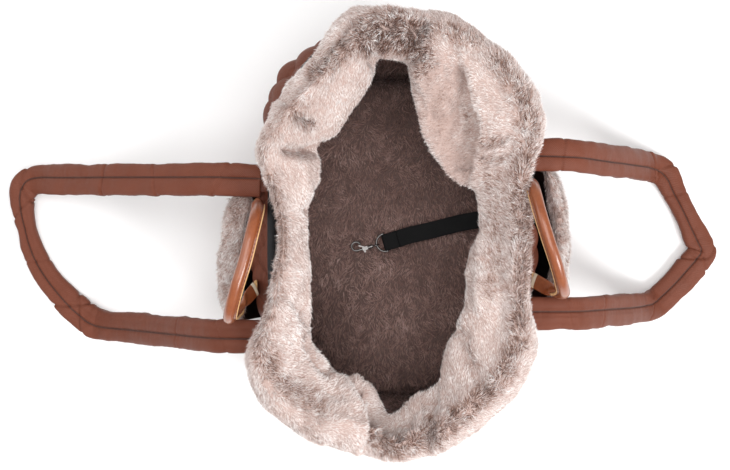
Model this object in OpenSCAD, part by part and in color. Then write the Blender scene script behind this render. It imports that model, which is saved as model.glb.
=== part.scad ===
// Soft pet carrier tote with a faux-fur collar, two long padded handles, two short leather
// handles, two side pockets and a clip-in tether. Millimetres, +Z up, origin on the ground
// under the middle of the base. The long side of the bag runs along Y.

/* [Bag] */
// Half width of the bag at its belly
belly_half_w = 155; // [146:1:157]
// Half length of the bag at its belly
belly_half_l = 233; // [220:1:240]
// Height at which the walls end and the collar starts
wall_h = 214; // [206:1:218]
// Roundness of the plan outline, 2 for an ellipse and more for squarer corners
plan_power = 2.8; // [2.3:0.1:3]
// Thickness of the quilted outer panel
shell_t = 8; // [6:0.5:9]
// Thickness of the wadding behind it
wadding_t = 5.5; // [4:0.5:7]
// Thickness of the fur lining
lining_t = 9.5; // [8:0.5:11]

/* [Base and cushion] */
// Thickness of the outer bottom panel
base_t = 7; // [6:0.5:8]
// Thickness of the stiffening board
board_t = 3; // [2:0.5:4]
// Height of the cushion's crown above the ground
cushion_top = 57; // [52:1:57]
// Thickness of the cushion's fur cover
cover_t = 5; // [3:0.5:7]

/* [Collar] */
// Half width over the outside of the collar
collar_half_w = 139; // [134:1:140]
// Half length over the outside of the collar
collar_half_l = 240; // [230:1:244]
// Half width of the mouth
mouth_half_w = 84; // [76:1:90]
// Half length of the mouth
mouth_half_l = 182; // [170:1:188]
// Height of the top of the collar
collar_top = 284; // [276:1:288]

/* [Pockets] */
// How far the pocket's mouth bulges from the wall
pocket_depth = 38; // [32:1:40]
// Height of the pocket's lower edge
pocket_low = 45; // [38:1:60]
// Height of the pocket's mouth
pocket_high = 180; // [170:1:182]
// Height of the fur trim band
trim_h = 30; // [24:1:36]
// Thickness of the fur trim band
trim_t = 8; // [6:0.5:9]

/* [Long handles] */
// Width of the padded sleeve
sleeve_w = 36; // [32:1:37]
// Thickness of the padded sleeve
sleeve_t = 14; // [12:0.5:14]
// Distance of the handle's flex line from the middle of the bag
long_pivot_x = 152; // [151:0.5:156]
// Height of the handle's flex line
long_pivot_z = 203; // [202:0.5:204]

/* [Leather handles] */
// Radius of the rolled grip
grip_r = 6.5; // [5.5:0.25:7]
// Distance of the grip's flex line from the middle of the bag
grip_pivot_x = 151; // [150:0.5:154]
// Height of the grip's flex line
grip_pivot_z = 212; // [211.5:0.5:214]

/* [Tether] */
// Width of the tether webbing
tether_w = 20; // [16:1:22]
// Thickness of the tether webbing
tether_t = 2; // [1.5:0.1:2.4]
// Radius of the wire of the D-ring
ring_wire_r = 1.25; // [1.1:0.05:1.3]
// Direction in which the hook lies, in degrees from +X
hook_heading = 196; // [190:1:200]

/* [Hidden] */
$fn = 48;

// Half width and half length of the outer wall at each height.
belly = [[0, 0.79, 0.86], [7, 0.82, 0.88], [30, 0.89, 0.93], [60, 0.95, 0.97], [100, 0.985, 0.99],
    [140, 1, 1], [180, 0.95, 0.985], [218, 0.88, 0.95]];
wall_rows = [0, 0.1, 0.24, 0.42, 0.62, 0.82, 1];
layer_gap = 0.4;
seam_gap_deg = 0.15;
wall_low = base_t + layer_gap;
board_low = base_t + layer_gap;
cushion_low = board_low + board_t + layer_gap;
sector_steps = 12;
collar_low = wall_h + layer_gap;
collar_mid = (collar_top + collar_low) / 2;

left = -1;
right = 1;
// Middle and half length of each pocket along Y.
pocket_mid = [-23, 0];
pocket_half = [74, 75];
pocket_wall_t = 3.5;
pocket_lining_t = 0.9;
pocket_gap = 1.1;
pocket_steps = 20;
pocket_foot = 3;

// Y of the two strands of each long handle where they leave the bag.
left_strands = [59, -111];
right_strands = [89, -86];
// Y of the two ends of each leather handle.
left_tabs_y = [30, -58];
right_tabs_y = [45, -49];
webbing_w = 25;
webbing_t = 3;
tail_low = 187;
tail_clear = 7.6;
tab_half_w = 8;

// Centreline of the left padded handle, from its far strand round to its near one.
left_route = [[-152, 59, 203], [-176, 60, 203], [-200, 61, 196], [-245, 62, 168], [-320, 64, 115],
    [-395, 66, 55], [-436, 66, 24], [-451, 50, 18], [-450, 20, 15], [-440, -25, 9], [-420, -60, 9],
    [-388, -95, 9], [-352, -110, 18], [-300, -111, 68], [-245, -111, 138], [-206, -111, 187],
    [-180, -111, 202], [-152, -111, 203]];
// Centreline of the right padded handle.
right_route = [[152, 89, 203], [178, 88, 203], [205, 87, 194], [240, 85, 152], [280, 84, 90],
    [314, 84, 28], [334, 80, 9], [352, 60, 9], [370, 25, 9], [384, -17, 9], [366, -48, 9],
    [338, -78, 9], [312, -87, 26], [280, -87, 88], [240, -86, 152], [205, -86, 194],
    [178, -86, 203], [152, -86, 203]];
// Centreline of the left rolled grip.
left_grip_route = [[-151, 30, 212], [-149, 32, 232], [-148, 30, 262], [-149, 20, 288], [-154, 0, 300],
    [-160, -28, 302], [-167, -55, 297], [-173, -76, 281], [-173, -82, 258], [-166, -74, 234],
    [-151, -58, 212]];
// Centreline of the right rolled grip.
right_grip_route = [[151, 45, 212], [148, 53, 232], [148, 56, 258], [150, 48, 284], [156, 24, 299],
    [164, -4, 303], [172, -30, 297], [178, -50, 280], [179, -58, 256], [168, -57, 232],
    [151, -49, 212]];
// Centreline of the tether webbing, from its sewn patch to the fold round the D-ring.
tether_route = [[121, 20, 118], [120, 20, 104], [117, 19.5, 90], [109, 19, 78], [96, 17, 70.5],
    [80, 14, 67], [60, 9, 66], [40, 4, 66], [22, 0, 67.5], [7, -4.7, 69.5]];
ring_at = [-8, -9, 69.5];
loop_len = 14;
loop_t = 5.4;
ring_r = 10.5;
run_clear = 0.05;
eye_x = 11.7;
eye_hole_r = 2.6;
eye_wire_r = 1;
stud_r = 1;
head_r = 1.6;
head_x = [16.6, 18.2];
barrel_end = 20.2;
block_x = [21.6, 28];
block_half = 2;
slot_x = [23.2, 26.6];
bow_x = 34.5;
bow_r = 5.2;
bow_wire_r = 1.2;
bow_tip = 195;
shank_r = 1.35;
gate_x = 24.8;
gate_pin_r = 0.6;
gate_t = 1.2;

fabric_brown = "#6b4236";
nylon_black = "#1c1c1f";
fur_pale = "#c9b8ae";
fur_brown = "#8b7468";
leather_tan = "#b5683a";
steel = "#b9b9bc";
foam_white = "#e6e2da";

// A value raised to a power with its sign kept.
function signed_pow(v, e) = sign(v) * pow(abs(v), e);

// A point of a rounded oval at parameter a.
function oval(a, half_w, half_l, power) =
    [half_w * signed_pow(cos(a), 2 / power), half_l * signed_pow(sin(a), 2 / power)];

// Half width and half length of the wall at height z, moved out by off.
function wall_w(z, off) = belly_half_w * lookup(z, [for (b = belly) [b[0], b[1]]]) + off;
function wall_l(z, off) = belly_half_l * lookup(z, [for (b = belly) [b[0], b[2]]]) + off;

// A point on the wall at parameter a and height z, moved out by off.
function wall_point(a, z, off) =
    let (p = oval(a, wall_w(z, off), wall_l(z, off), plan_power)) [p[0], p[1], z];

// X of the wall on one side at y and z, moved out by off.
function side_x(side, y, z, off) =
    side * wall_w(z, off)
    * pow(1 - pow(abs(y) / wall_l(z, off), plan_power), 1 / plan_power);

// Heights of the rows of a wall between two levels.
function rows(low, high) = [for (r = wall_rows) low + (high - low) * r];

// A vector brought to length 1.
function unit(v) = v / norm(v);

// A point of a Catmull-Rom curve through p[i] and p[i + 1].
function curve_point(p, i, t) =
    let (a = p[max(i - 1, 0)], b = p[i], c = p[i + 1], d = p[min(i + 2, len(p) - 1)])
    0.5 * (2 * b + (c - a) * t + (2 * a - 5 * b + 4 * c - d) * t * t
        + (3 * b - a - 3 * c + d) * t * t * t);

// The smooth curve through points p, with steps pieces to each stretch.
function curve(p, steps) =
    concat([for (i = [0:len(p) - 2]) for (s = [0:steps - 1]) curve_point(p, i, s / steps)],
        [p[len(p) - 1]]);

// Direction of a line of points at i.
function heading(line, i) = unit(line[min(i + 1, len(line) - 1)] - line[max(i - 1, 0)]);

// Rings of a rounded flat section, w wide and t thick, along a line, with its width square to up.
function flat_rings(line, w, t, up, sides) =
    [for (i = [0:len(line) - 1])
        let (along = heading(line, i), across = unit(cross(up, along)), over = cross(along, across))
        [for (k = [0:sides - 1])
            let (a = 360 * (k + 0.5) / sides)
            line[i] + across * (w / 2) * signed_pow(cos(a), 0.6) + over * (t / 2) * signed_pow(sin(a), 0.6)]];

// The same section with its width kept along one direction as far as the line allows.
function band_rings(line, w, t, side, sides) =
    [for (i = [0:len(line) - 1])
        let (along = heading(line, i), across = unit(side - along * (side * along)),
            over = cross(along, across))
        [for (k = [0:sides - 1])
            let (a = 360 * (k + 0.5) / sides)
            line[i] + across * (w / 2) * signed_pow(cos(a), 0.6) + over * (t / 2) * signed_pow(sin(a), 0.6)]];

// Rings of a round section of radius r along a line.
function round_rings(line, r, up, sides) =
    [for (i = [0:len(line) - 1])
        let (along = heading(line, i), across = unit(cross(up, along)), over = cross(along, across))
        [for (k = [0:sides - 1]) let (a = 360 * k / sides)
            line[i] + (across * cos(a) + over * sin(a)) * r]];

// A line with its two ends drawn out by d.
function longer(line, d) =
    let (n = len(line))
    concat([line[0] - heading(line, 0) * d], line, [line[n - 1] + heading(line, n - 1) * d]);

// A closed solid through rings of points, each ring turning right-handed about the way ahead.
module loft(rings) {
    n = len(rings[0]);
    last = (len(rings) - 1) * n;
    points = [for (r = rings) for (p = r) p];
    sides = [for (r = [0:len(rings) - 2]) for (k = [0:n - 1])
        let (a = r * n + k, b = r * n + (k + 1) % n, c = b + n, d = a + n)
        each [[a, d, c], [a, c, b]]];
    first_cap = [for (k = [0:n / 2 - 2]) each [[k, k + 1, n - 2 - k], [k, n - 2 - k, n - 1 - k]]];
    last_cap = [for (f = first_cap) [f[2] + last, f[1] + last, f[0] + last]];
    polyhedron(points, concat(sides, first_cap, last_cap), convexity = 8);
}

// One quarter of a wall layer between two offsets from the outer surface.
module wall_sector(middle_deg, off_in, off_out, low, high) {
    from = middle_deg - 45 + seam_gap_deg;
    step = (90 - 2 * seam_gap_deg) / sector_steps;
    levels = rows(low, high);
    loft([for (i = [0:sector_steps]) let (a = from + step * i)
        concat([for (z = levels) wall_point(a, z, off_in)],
            [for (j = [len(levels) - 1:-1:0]) wall_point(a, levels[j], off_out)])]);
}

module shell_panel(middle_deg) {
    color(fabric_brown) wall_sector(middle_deg, -shell_t, 0, wall_low, wall_h);
}

module wadding_panel(middle_deg) {
    out = -shell_t - layer_gap;
    color(foam_white) wall_sector(middle_deg, out - wadding_t, out, wall_low, wall_h);
}

lining_out = -shell_t - wadding_t - 2 * layer_gap;
lining_in = lining_out - lining_t;

module lining_panel(middle_deg) {
    color(fur_brown) wall_sector(middle_deg, lining_in, lining_out, wall_low, wall_h);
}

// One quarter of the rolled collar, flat below where it sits on the walls.
module collar_section(middle_deg) {
    from = middle_deg - 45 + seam_gap_deg;
    step = (90 - 2 * seam_gap_deg) / sector_steps;
    sides = 14;
    mouth_power = 1.75;
    half_h = collar_top - collar_mid;
    color(fur_pale) loft([for (i = [0:sector_steps])
        let (a = from + step * i, outer = oval(a, collar_half_w, collar_half_l, plan_power),
            inner = oval(a, mouth_half_w, mouth_half_l, mouth_power),
            mid = (outer + inner) / 2, half = (outer - inner) / 2)
        [for (k = [0:sides - 1]) let (b = 360 * (k + 0.5) / sides, out = cos(b))
            [mid[0] + half[0] * out, mid[1] + half[1] * out,
                collar_mid - half_h * signed_pow(sin(b), 0.7)]]]);
}

// A superellipse plate.
module plate(half_w, half_l, low, thick) {
    translate([0, 0, low]) linear_extrude(thick)
        polygon([for (a = [0:5:355]) oval(a, half_w, half_l, plan_power)]);
}

module base_panel() {
    color(fabric_brown) plate(wall_w(0, 0), wall_l(0, 0), 0, base_t);
}

board_off = lining_in - 1;

module base_board() {
    color("#4a4643") plate(wall_w(base_t, board_off), wall_l(base_t, board_off), board_low, board_t);
}

// The cushion's outline: share of its height, and how far it draws in from its widest.
cushion_form = [[0, 12], [0.12, 5], [0.4, 0], [0.68, 3], [0.88, 14], [0.97, 34], [1, 60]];

module cushion_form_solid(inset, low, top) {
    half_w = wall_w(40, lining_in) - 10 - inset;
    half_l = wall_l(40, lining_in) - 10 - inset;
    loft([for (f = cushion_form)
        [for (a = [0:10:350])
            let (p = oval(a, half_w - f[1], half_l - f[1], plan_power))
            [p[0], p[1], low + (top - low) * f[0]]]]);
}

module cushion_cover() {
    color(fur_brown) difference() {
        cushion_form_solid(0, cushion_low, cushion_top);
        cushion_form_solid(cover_t, cushion_low - 1, cushion_top - cover_t);
    }
}

module cushion_filling() {
    color(foam_white) cushion_form_solid(cover_t + layer_gap, cushion_low, cushion_top - cover_t - layer_gap);
}

// How far the pocket stands off the wall at y and z.
function pocket_off(i, y, z) =
    let (up = (z - pocket_low) / (pocket_high - pocket_low),
        bulge = cos(88 * (y - pocket_mid[i]) / pocket_half[i]))
    pocket_foot + (pocket_depth - pocket_foot) * pow(max(up, 0), 0.85) * pow(bulge, 0.7);

// A layer of the pocket between two distances from its inner face.
module pocket_layer(side, d_in, d_out, low, high) {
    i = side == left ? 0 : 1;
    levels = rows(low, high);
    // The way ahead follows the wall round anticlockwise, so the left side runs towards -Y.
    function ring(y) =
        concat([for (z = levels) let (o = pocket_off(i, y, z) + d_in) [side_x(side, y, z, o), y, z]],
            [for (j = [len(levels) - 1:-1:0])
                let (z = levels[j], o = pocket_off(i, y, z) + d_out) [side_x(side, y, z, o), y, z]]);
    loft([for (s = [0:pocket_steps])
        ring(pocket_mid[i] + side * pocket_half[i] * (2 * s / pocket_steps - 1))]);
}

module pocket_panel(side) {
    color(fabric_brown) pocket_layer(side, 0, pocket_wall_t, pocket_low, pocket_high);
}

module pocket_lining(side) {
    color(nylon_black)
        pocket_layer(side, -pocket_gap - pocket_lining_t, -pocket_gap, pocket_low, pocket_high);
}

module pocket_trim(side) {
    near_face = pocket_wall_t + pocket_gap / 2;
    color(fur_brown)
        pocket_layer(side, near_face, near_face + trim_t, pocket_high - trim_h, pocket_high + 2);
}

route_steps = 3;
upward = [0, 0, 1];

module long_sleeve(route) {
    line = curve(route, route_steps);
    color(fabric_brown) difference() {
        loft(flat_rings(line, sleeve_w, sleeve_t, upward, 12));
        loft(flat_rings(longer(line, 2), webbing_w + 1, webbing_t + 1, upward, 8));
    }
}

module long_webbing(route) {
    color(nylon_black)
        loft(flat_rings(curve(route, route_steps), webbing_w, webbing_t, upward, 8));
}

// The sewn ends of a long handle's webbing: a patch on the wall and a tongue out to the flex line.
module long_tails(side, strands) {
    tongue_end = side * (long_pivot_x - tail_clear);
    color(fabric_brown) for (y = strands) {
        low_x = side_x(side, y, tail_low, layer_gap);
        from = min(low_x, tongue_end);
        translate([from, y - webbing_w / 2, long_pivot_z - webbing_t / 2])
            cube([abs(tongue_end - low_x), webbing_w, webbing_t]);
    }
}

sideways = [1, 0, 0];

module leather_grip(route) {
    line = curve(route, route_steps);
    color(leather_tan) difference() {
        loft(round_rings(line, grip_r, sideways, 12));
        loft(round_rings(longer(line, 2), grip_r - 2, sideways, 8));
    }
}

module leather_core(route) {
    color(foam_white) loft(round_rings(curve(route, route_steps), grip_r - 2.4, sideways, 8));
}

// The leather ends sewn to the wall under the grip.
module leather_tabs(side, ends) {
    tab_low = 192;
    tab_high = grip_pivot_z - grip_r - 0.9;
    tab_out = side * (grip_pivot_x + 3.5);
    color(leather_tan) for (y = ends) {
        near_x = side * (abs(side_x(side, y, tab_low, 0)) + 3);
        translate([min(near_x, tab_out), y - tab_half_w, tab_low])
            cube([abs(tab_out - near_x), 2 * tab_half_w, tab_high - tab_low]);
    }
}

module tether_patch() {
    out_x = side_x(right, 20, 130, lining_in) - 1.5;
    color(nylon_black) translate([out_x - 3, 20 - tether_w / 2, 118.2]) cube([3, tether_w, 26]);
}

module tether_strap() {
    color(nylon_black) loft(band_rings(curve(tether_route, 2), tether_w, tether_t, [0.2, -1, 0], 8));
}

// Places children in the hook's own frame: +X along the hook, Y along the D-ring's bar.
module hook_frame() {
    translate(ring_at) rotate([0, 0, hook_heading]) children();
}

// A solid of revolution about the hook's own axis, from an outline of [radius, distance] points.
module turned(outline) {
    rotate([0, 90, 0]) rotate_extrude() polygon(outline);
}

// The fold is full wide up to the D-ring's corners and narrower between them.
module tether_loop() {
    corner_x = -1.4;
    nose_x = 2.6;
    nose_half_w = 8.6;
    color(nylon_black) hook_frame() difference() {
        translate([0, 0, -loop_t / 2]) linear_extrude(loop_t)
            polygon([[-loop_len, -tether_w / 2], [corner_x, -tether_w / 2], [corner_x, -nose_half_w],
                [nose_x, -nose_half_w], [nose_x, nose_half_w], [corner_x, nose_half_w],
                [corner_x, tether_w / 2], [-loop_len, tether_w / 2]]);
        rotate([90, 0, 0]) cylinder(r = ring_wire_r + run_clear, h = 2 * tether_w, center = true);
    }
}

module d_ring() {
    color(steel) hook_frame() union() {
        rotate([90, 0, 0]) cylinder(r = ring_wire_r, h = 2 * ring_r, center = true);
        rotate([0, 0, -90]) rotate_extrude(angle = 180) translate([ring_r, 0]) circle(ring_wire_r);
        for (y = [-ring_r, ring_r]) translate([0, y, 0]) sphere(ring_wire_r);
    }
}

// The eye round the D-ring, and the barrel that the hook's stud turns in.
module hook_eye() {
    barrel_r = 2.4;
    color(steel) hook_frame() difference() {
        union() {
            translate([eye_x, 0, 0]) rotate([90, 0, 0])
                rotate_extrude() translate([eye_hole_r + eye_wire_r, 0]) circle(eye_wire_r);
            translate([15.3, 0, 0]) rotate([0, 90, 0]) cylinder(r = barrel_r, h = barrel_end - 15.3);
        }
        turned([[0, head_x[0] - 0.15], [head_r + 0.1, head_x[0] - 0.15], [head_r + 0.1, head_x[1] + 0.15],
            [stud_r + run_clear, head_x[1] + 0.15], [stud_r + run_clear, barrel_end + 1],
            [0, barrel_end + 1]]);
    }
}

module hook_body() {
    color(steel) hook_frame() difference() {
        union() {
            turned([[0, head_x[0]], [head_r, head_x[0]], [head_r, head_x[1]], [stud_r, head_x[1]],
                [stud_r, barrel_end + 0.3], [2.1, barrel_end + 0.3], [2.1, block_x[0] + 0.5],
                [0, block_x[0] + 0.5]]);
            translate([block_x[0], -block_half, -block_half])
                cube([block_x[1] - block_x[0], 2 * block_half, 2 * block_half]);
            translate([block_x[1] - 1, 0, 0]) rotate([0, 90, 0])
                cylinder(r = shank_r, h = bow_x - block_x[1] + 1.3);
            translate([bow_x, -bow_r, 0]) rotate([0, 0, bow_tip - 360])
                rotate_extrude(angle = 450 - bow_tip) translate([bow_r, 0]) circle(bow_wire_r);
            translate([bow_x + bow_r * cos(bow_tip), bow_r * (sin(bow_tip) - 1), 0]) sphere(shank_r);
        }
        // Slot for the gate and its spring, longer on the side of its arm, and the bore for its pin.
        translate([slot_x[0], -block_half - 1, -1.5])
            cube([slot_x[1] - slot_x[0], 2 * block_half + 2, 2.2]);
        translate([slot_x[0], -block_half - 1, -1.5]) cube([5.3, block_half + 1, 2.2]);
        translate([gate_x, 0, 0])
            cylinder(r = gate_pin_r + 0.02, h = 2 * block_half + 2, center = true);
    }
}

// The latch arm that closes the bow, in one piece with its thumb knob.
module hook_gate() {
    color(steel) hook_frame() translate([gate_x, 0, -gate_t / 2]) difference() {
        linear_extrude(gate_t) polygon([[-1.1, -0.7], [0.6, -2.4], [6, -5.6], [6.9, -5.3], [6.9, -4.3],
            [2, -1.9], [1.5, -0.3], [1.5, 1.6], [2.4, 3.1], [2.2, 4.4], [1.2, 5], [0.1, 4.4],
            [-0.2, 3.2], [0.3, 1.6], [-1, 0.8]]);
        cylinder(r = gate_pin_r + run_clear, h = 3 * gate_t, center = true);
    }
}

module gate_pin() {
    color(steel) hook_frame() translate([gate_x, 0, 0])
        cylinder(r = gate_pin_r, h = 2 * block_half, center = true);
}

module gate_spring() {
    wire_r = 0.12;
    color(steel) hook_frame() for (i = [0:2])
        translate([gate_x, 0, -0.8 - i * 0.26])
            rotate_extrude() translate([0.9, 0]) circle(wire_r);
}

base_panel();
base_board();
shell_panel(0);  // shell_right
shell_panel(90);  // shell_far
shell_panel(180);  // shell_left
shell_panel(270);  // shell_near
wadding_panel(0);  // wadding_right
wadding_panel(90);  // wadding_far
wadding_panel(180);  // wadding_left
wadding_panel(270);  // wadding_near
lining_panel(0);  // lining_right
lining_panel(90);  // lining_far
lining_panel(180);  // lining_left
lining_panel(270);  // lining_near
collar_section(0);  // collar_right
collar_section(90);  // collar_far
collar_section(180);  // collar_left
collar_section(270);  // collar_near
cushion_cover();
cushion_filling();
pocket_panel(left);  // pocket_panel_left
pocket_panel(right);  // pocket_panel_right
pocket_lining(left);  // pocket_lining_left
pocket_lining(right);  // pocket_lining_right
pocket_trim(left);  // pocket_trim_left
pocket_trim(right);  // pocket_trim_right
long_sleeve(left_route);  // long_sleeve_left
long_webbing(left_route);  // long_webbing_left
long_tails(left, left_strands);  // long_tails_left
long_sleeve(right_route);  // long_sleeve_right
long_webbing(right_route);  // long_webbing_right
long_tails(right, right_strands);  // long_tails_right
leather_grip(left_grip_route);  // leather_grip_left
leather_core(left_grip_route);  // leather_core_left
leather_tabs(left, left_tabs_y);  // leather_tabs_left
leather_grip(right_grip_route);  // leather_grip_right
leather_core(right_grip_route);  // leather_core_right
leather_tabs(right, right_tabs_y);  // leather_tabs_right
tether_patch();
tether_strap();
tether_loop();
d_ring();
hook_eye();
hook_body();
hook_gate();
gate_pin();
gate_spring();
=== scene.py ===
"""Soft pet carrier tote: the looks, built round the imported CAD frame.

Metres, +Z up, origin on the ground under the middle of the base, the long side along Y.
"""

import logging
import math
from dataclasses import dataclass
from enum import Enum

import bpy
import numpy as np
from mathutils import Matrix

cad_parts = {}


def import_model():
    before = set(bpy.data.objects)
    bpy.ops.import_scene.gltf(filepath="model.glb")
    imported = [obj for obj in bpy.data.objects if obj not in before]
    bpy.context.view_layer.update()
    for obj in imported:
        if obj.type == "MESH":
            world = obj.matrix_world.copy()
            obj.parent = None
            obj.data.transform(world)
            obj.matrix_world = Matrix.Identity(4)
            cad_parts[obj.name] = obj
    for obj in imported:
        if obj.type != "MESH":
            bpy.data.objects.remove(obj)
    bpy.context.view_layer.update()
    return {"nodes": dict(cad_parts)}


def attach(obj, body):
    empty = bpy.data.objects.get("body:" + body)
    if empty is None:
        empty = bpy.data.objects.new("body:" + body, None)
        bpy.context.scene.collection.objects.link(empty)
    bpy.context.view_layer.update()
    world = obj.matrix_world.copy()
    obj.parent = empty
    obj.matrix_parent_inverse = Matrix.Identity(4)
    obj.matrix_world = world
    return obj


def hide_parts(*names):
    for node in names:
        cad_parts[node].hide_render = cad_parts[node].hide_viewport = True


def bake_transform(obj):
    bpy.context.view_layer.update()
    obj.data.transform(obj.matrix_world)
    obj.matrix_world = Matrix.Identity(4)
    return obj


log = logging.getLogger("tote")
Array = np.ndarray
MM = 0.001
BAG = "bag"
# Steps in which outlines are measured before they are cut into even lengths.
OUTLINE_STEPS = 16384
# Rays on which the collar's outlines are smoothed, four to the degree.
RAYS = 1440


# ---------------------------------------------------------------- numbers and curves


def unit(v: Array) -> Array:
    """Brings vectors to length 1.

    Args:
        v: Vectors in the last axis.

    Returns:
        The same directions with length 1.
    """
    return v / np.maximum(np.linalg.norm(v, axis=-1, keepdims=True), 1e-12)


def smooth(x: Array, low: float, high: float) -> Array:
    """Rises from 0 at low to 1 at high along 3t^2 - 2t^3.

    Args:
        x: Values.
        low: Where the rise starts.
        high: Where it ends.

    Returns:
        Shares from 0 to 1.
    """
    t = np.clip((np.asarray(x, float) - low) / (high - low), 0, 1)
    return t * t * (3 - 2 * t)


def hump(x: Array, middle: float, width: float) -> Array:
    """A bell, exp(-((x - middle) / width)^2).

    Args:
        x: Values.
        middle: Where the bell is 1.
        width: Distance at which it has fallen to about a third.

    Returns:
        Values from 0 to 1.
    """
    return np.exp(-(((np.asarray(x, float) - middle) / width) ** 2))


def signed_power(v: Array, e: float) -> Array:
    """A value raised to a power with its sign kept.

    Args:
        v: Values.
        e: Power.

    Returns:
        sign(v) |v|^e.
    """
    return np.sign(v) * np.abs(v) ** e


def spline_weights(count: int, samples: int, closed: bool = False) -> Array:
    """Weights of a Catmull-Rom curve on its control points.

    Args:
        count: Number of control points.
        samples: Number of points wanted on the curve.
        closed: Whether the curve runs back to its first point.

    Returns:
        A samples by count table, each row summing to 1.
    """
    t = np.linspace(0, count if closed else count - 1, samples, endpoint=not closed)
    i = np.minimum(t.astype(int), count - (1 if closed else 2))
    f = t - i
    basis = 0.5 * np.stack(
        [-f + 2 * f**2 - f**3, 2 - 5 * f**2 + 3 * f**3, f + 4 * f**2 - 3 * f**3, -(f**2) + f**3], 1
    )
    weights = np.zeros((samples, count))
    for step in range(4):
        at = i + step - 1
        at = at % count if closed else np.clip(at, 0, count - 1)
        np.add.at(weights, (np.arange(samples), at), basis[:, step])
    return weights


def run(points: Array, samples: int, closed: bool = False) -> Array:
    """A smooth curve through points, resampled to even steps of length.

    Args:
        points: Control points, one a row.
        samples: Number of points wanted.
        closed: Whether the curve runs back to its first point.

    Returns:
        The points of the curve.
    """
    p = np.asarray(points, float)
    fine = spline_weights(len(p), 40 * len(p), closed) @ p
    if closed:
        fine = np.vstack([fine, fine[:1]])
    s = length_along(fine)
    want = np.linspace(0, s[-1], samples, endpoint=not closed)
    return np.column_stack([np.interp(want, s, fine[:, k]) for k in range(p.shape[1])])


def length_along(line: Array) -> Array:
    """Distance along a line of points.

    Args:
        line: Points, one a row.

    Returns:
        The distance from the first point to each.
    """
    return np.concatenate([[0], np.cumsum(np.linalg.norm(np.diff(line, axis=0), axis=1))])


class Noise:
    """A smooth random field: the sum of plane waves whose lengths lie about one scale."""

    def __init__(self, scale: float, seed: int, waves: int = 20) -> None:
        """Picks the waves.

        Args:
            scale: Typical wavelength in metres.
            seed: Seed of the random choice.
            waves: Number of waves.
        """
        rng = np.random.default_rng(seed)
        size = scale * rng.uniform(0.65, 1.7, (waves, 1))
        self.waves = unit(rng.normal(size=(waves, 3))) * (2 * math.pi / size)
        self.phase = rng.uniform(0, 2 * math.pi, waves)

    def __call__(self, points: Array) -> Array:
        """Samples the field.

        Args:
            points: Points in the last axis.

        Returns:
            Values about 0, seldom beyond -1 or 1.
        """
        total = np.zeros(points.shape[:-1])
        for wave, phase in zip(self.waves, self.phase):
            total += np.sin(points @ wave + phase)
        return total / (1.4 * math.sqrt(len(self.phase)))


# ---------------------------------------------------------------- meshes


def grid_faces(rows: int, cols: int, wrap_rows: bool, wrap_cols: bool) -> Array:
    """Quads of a grid of points, numbered row by row.

    Args:
        rows: Number of rows.
        cols: Number of columns.
        wrap_rows: Whether the last row joins the first.
        wrap_cols: Whether the last column joins the first.

    Returns:
        Four point numbers a quad, facing along columns' direction cross rows' direction.
    """
    r = np.arange(rows if wrap_rows else rows - 1)[:, None]
    c = np.arange(cols if wrap_cols else cols - 1)[None, :]
    a, b = r * cols + c, r * cols + (c + 1) % cols
    d, e = (r + 1) % rows * cols + c, (r + 1) % rows * cols + (c + 1) % cols
    return np.stack([a, b, e, d], -1).reshape(-1, 4)


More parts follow.
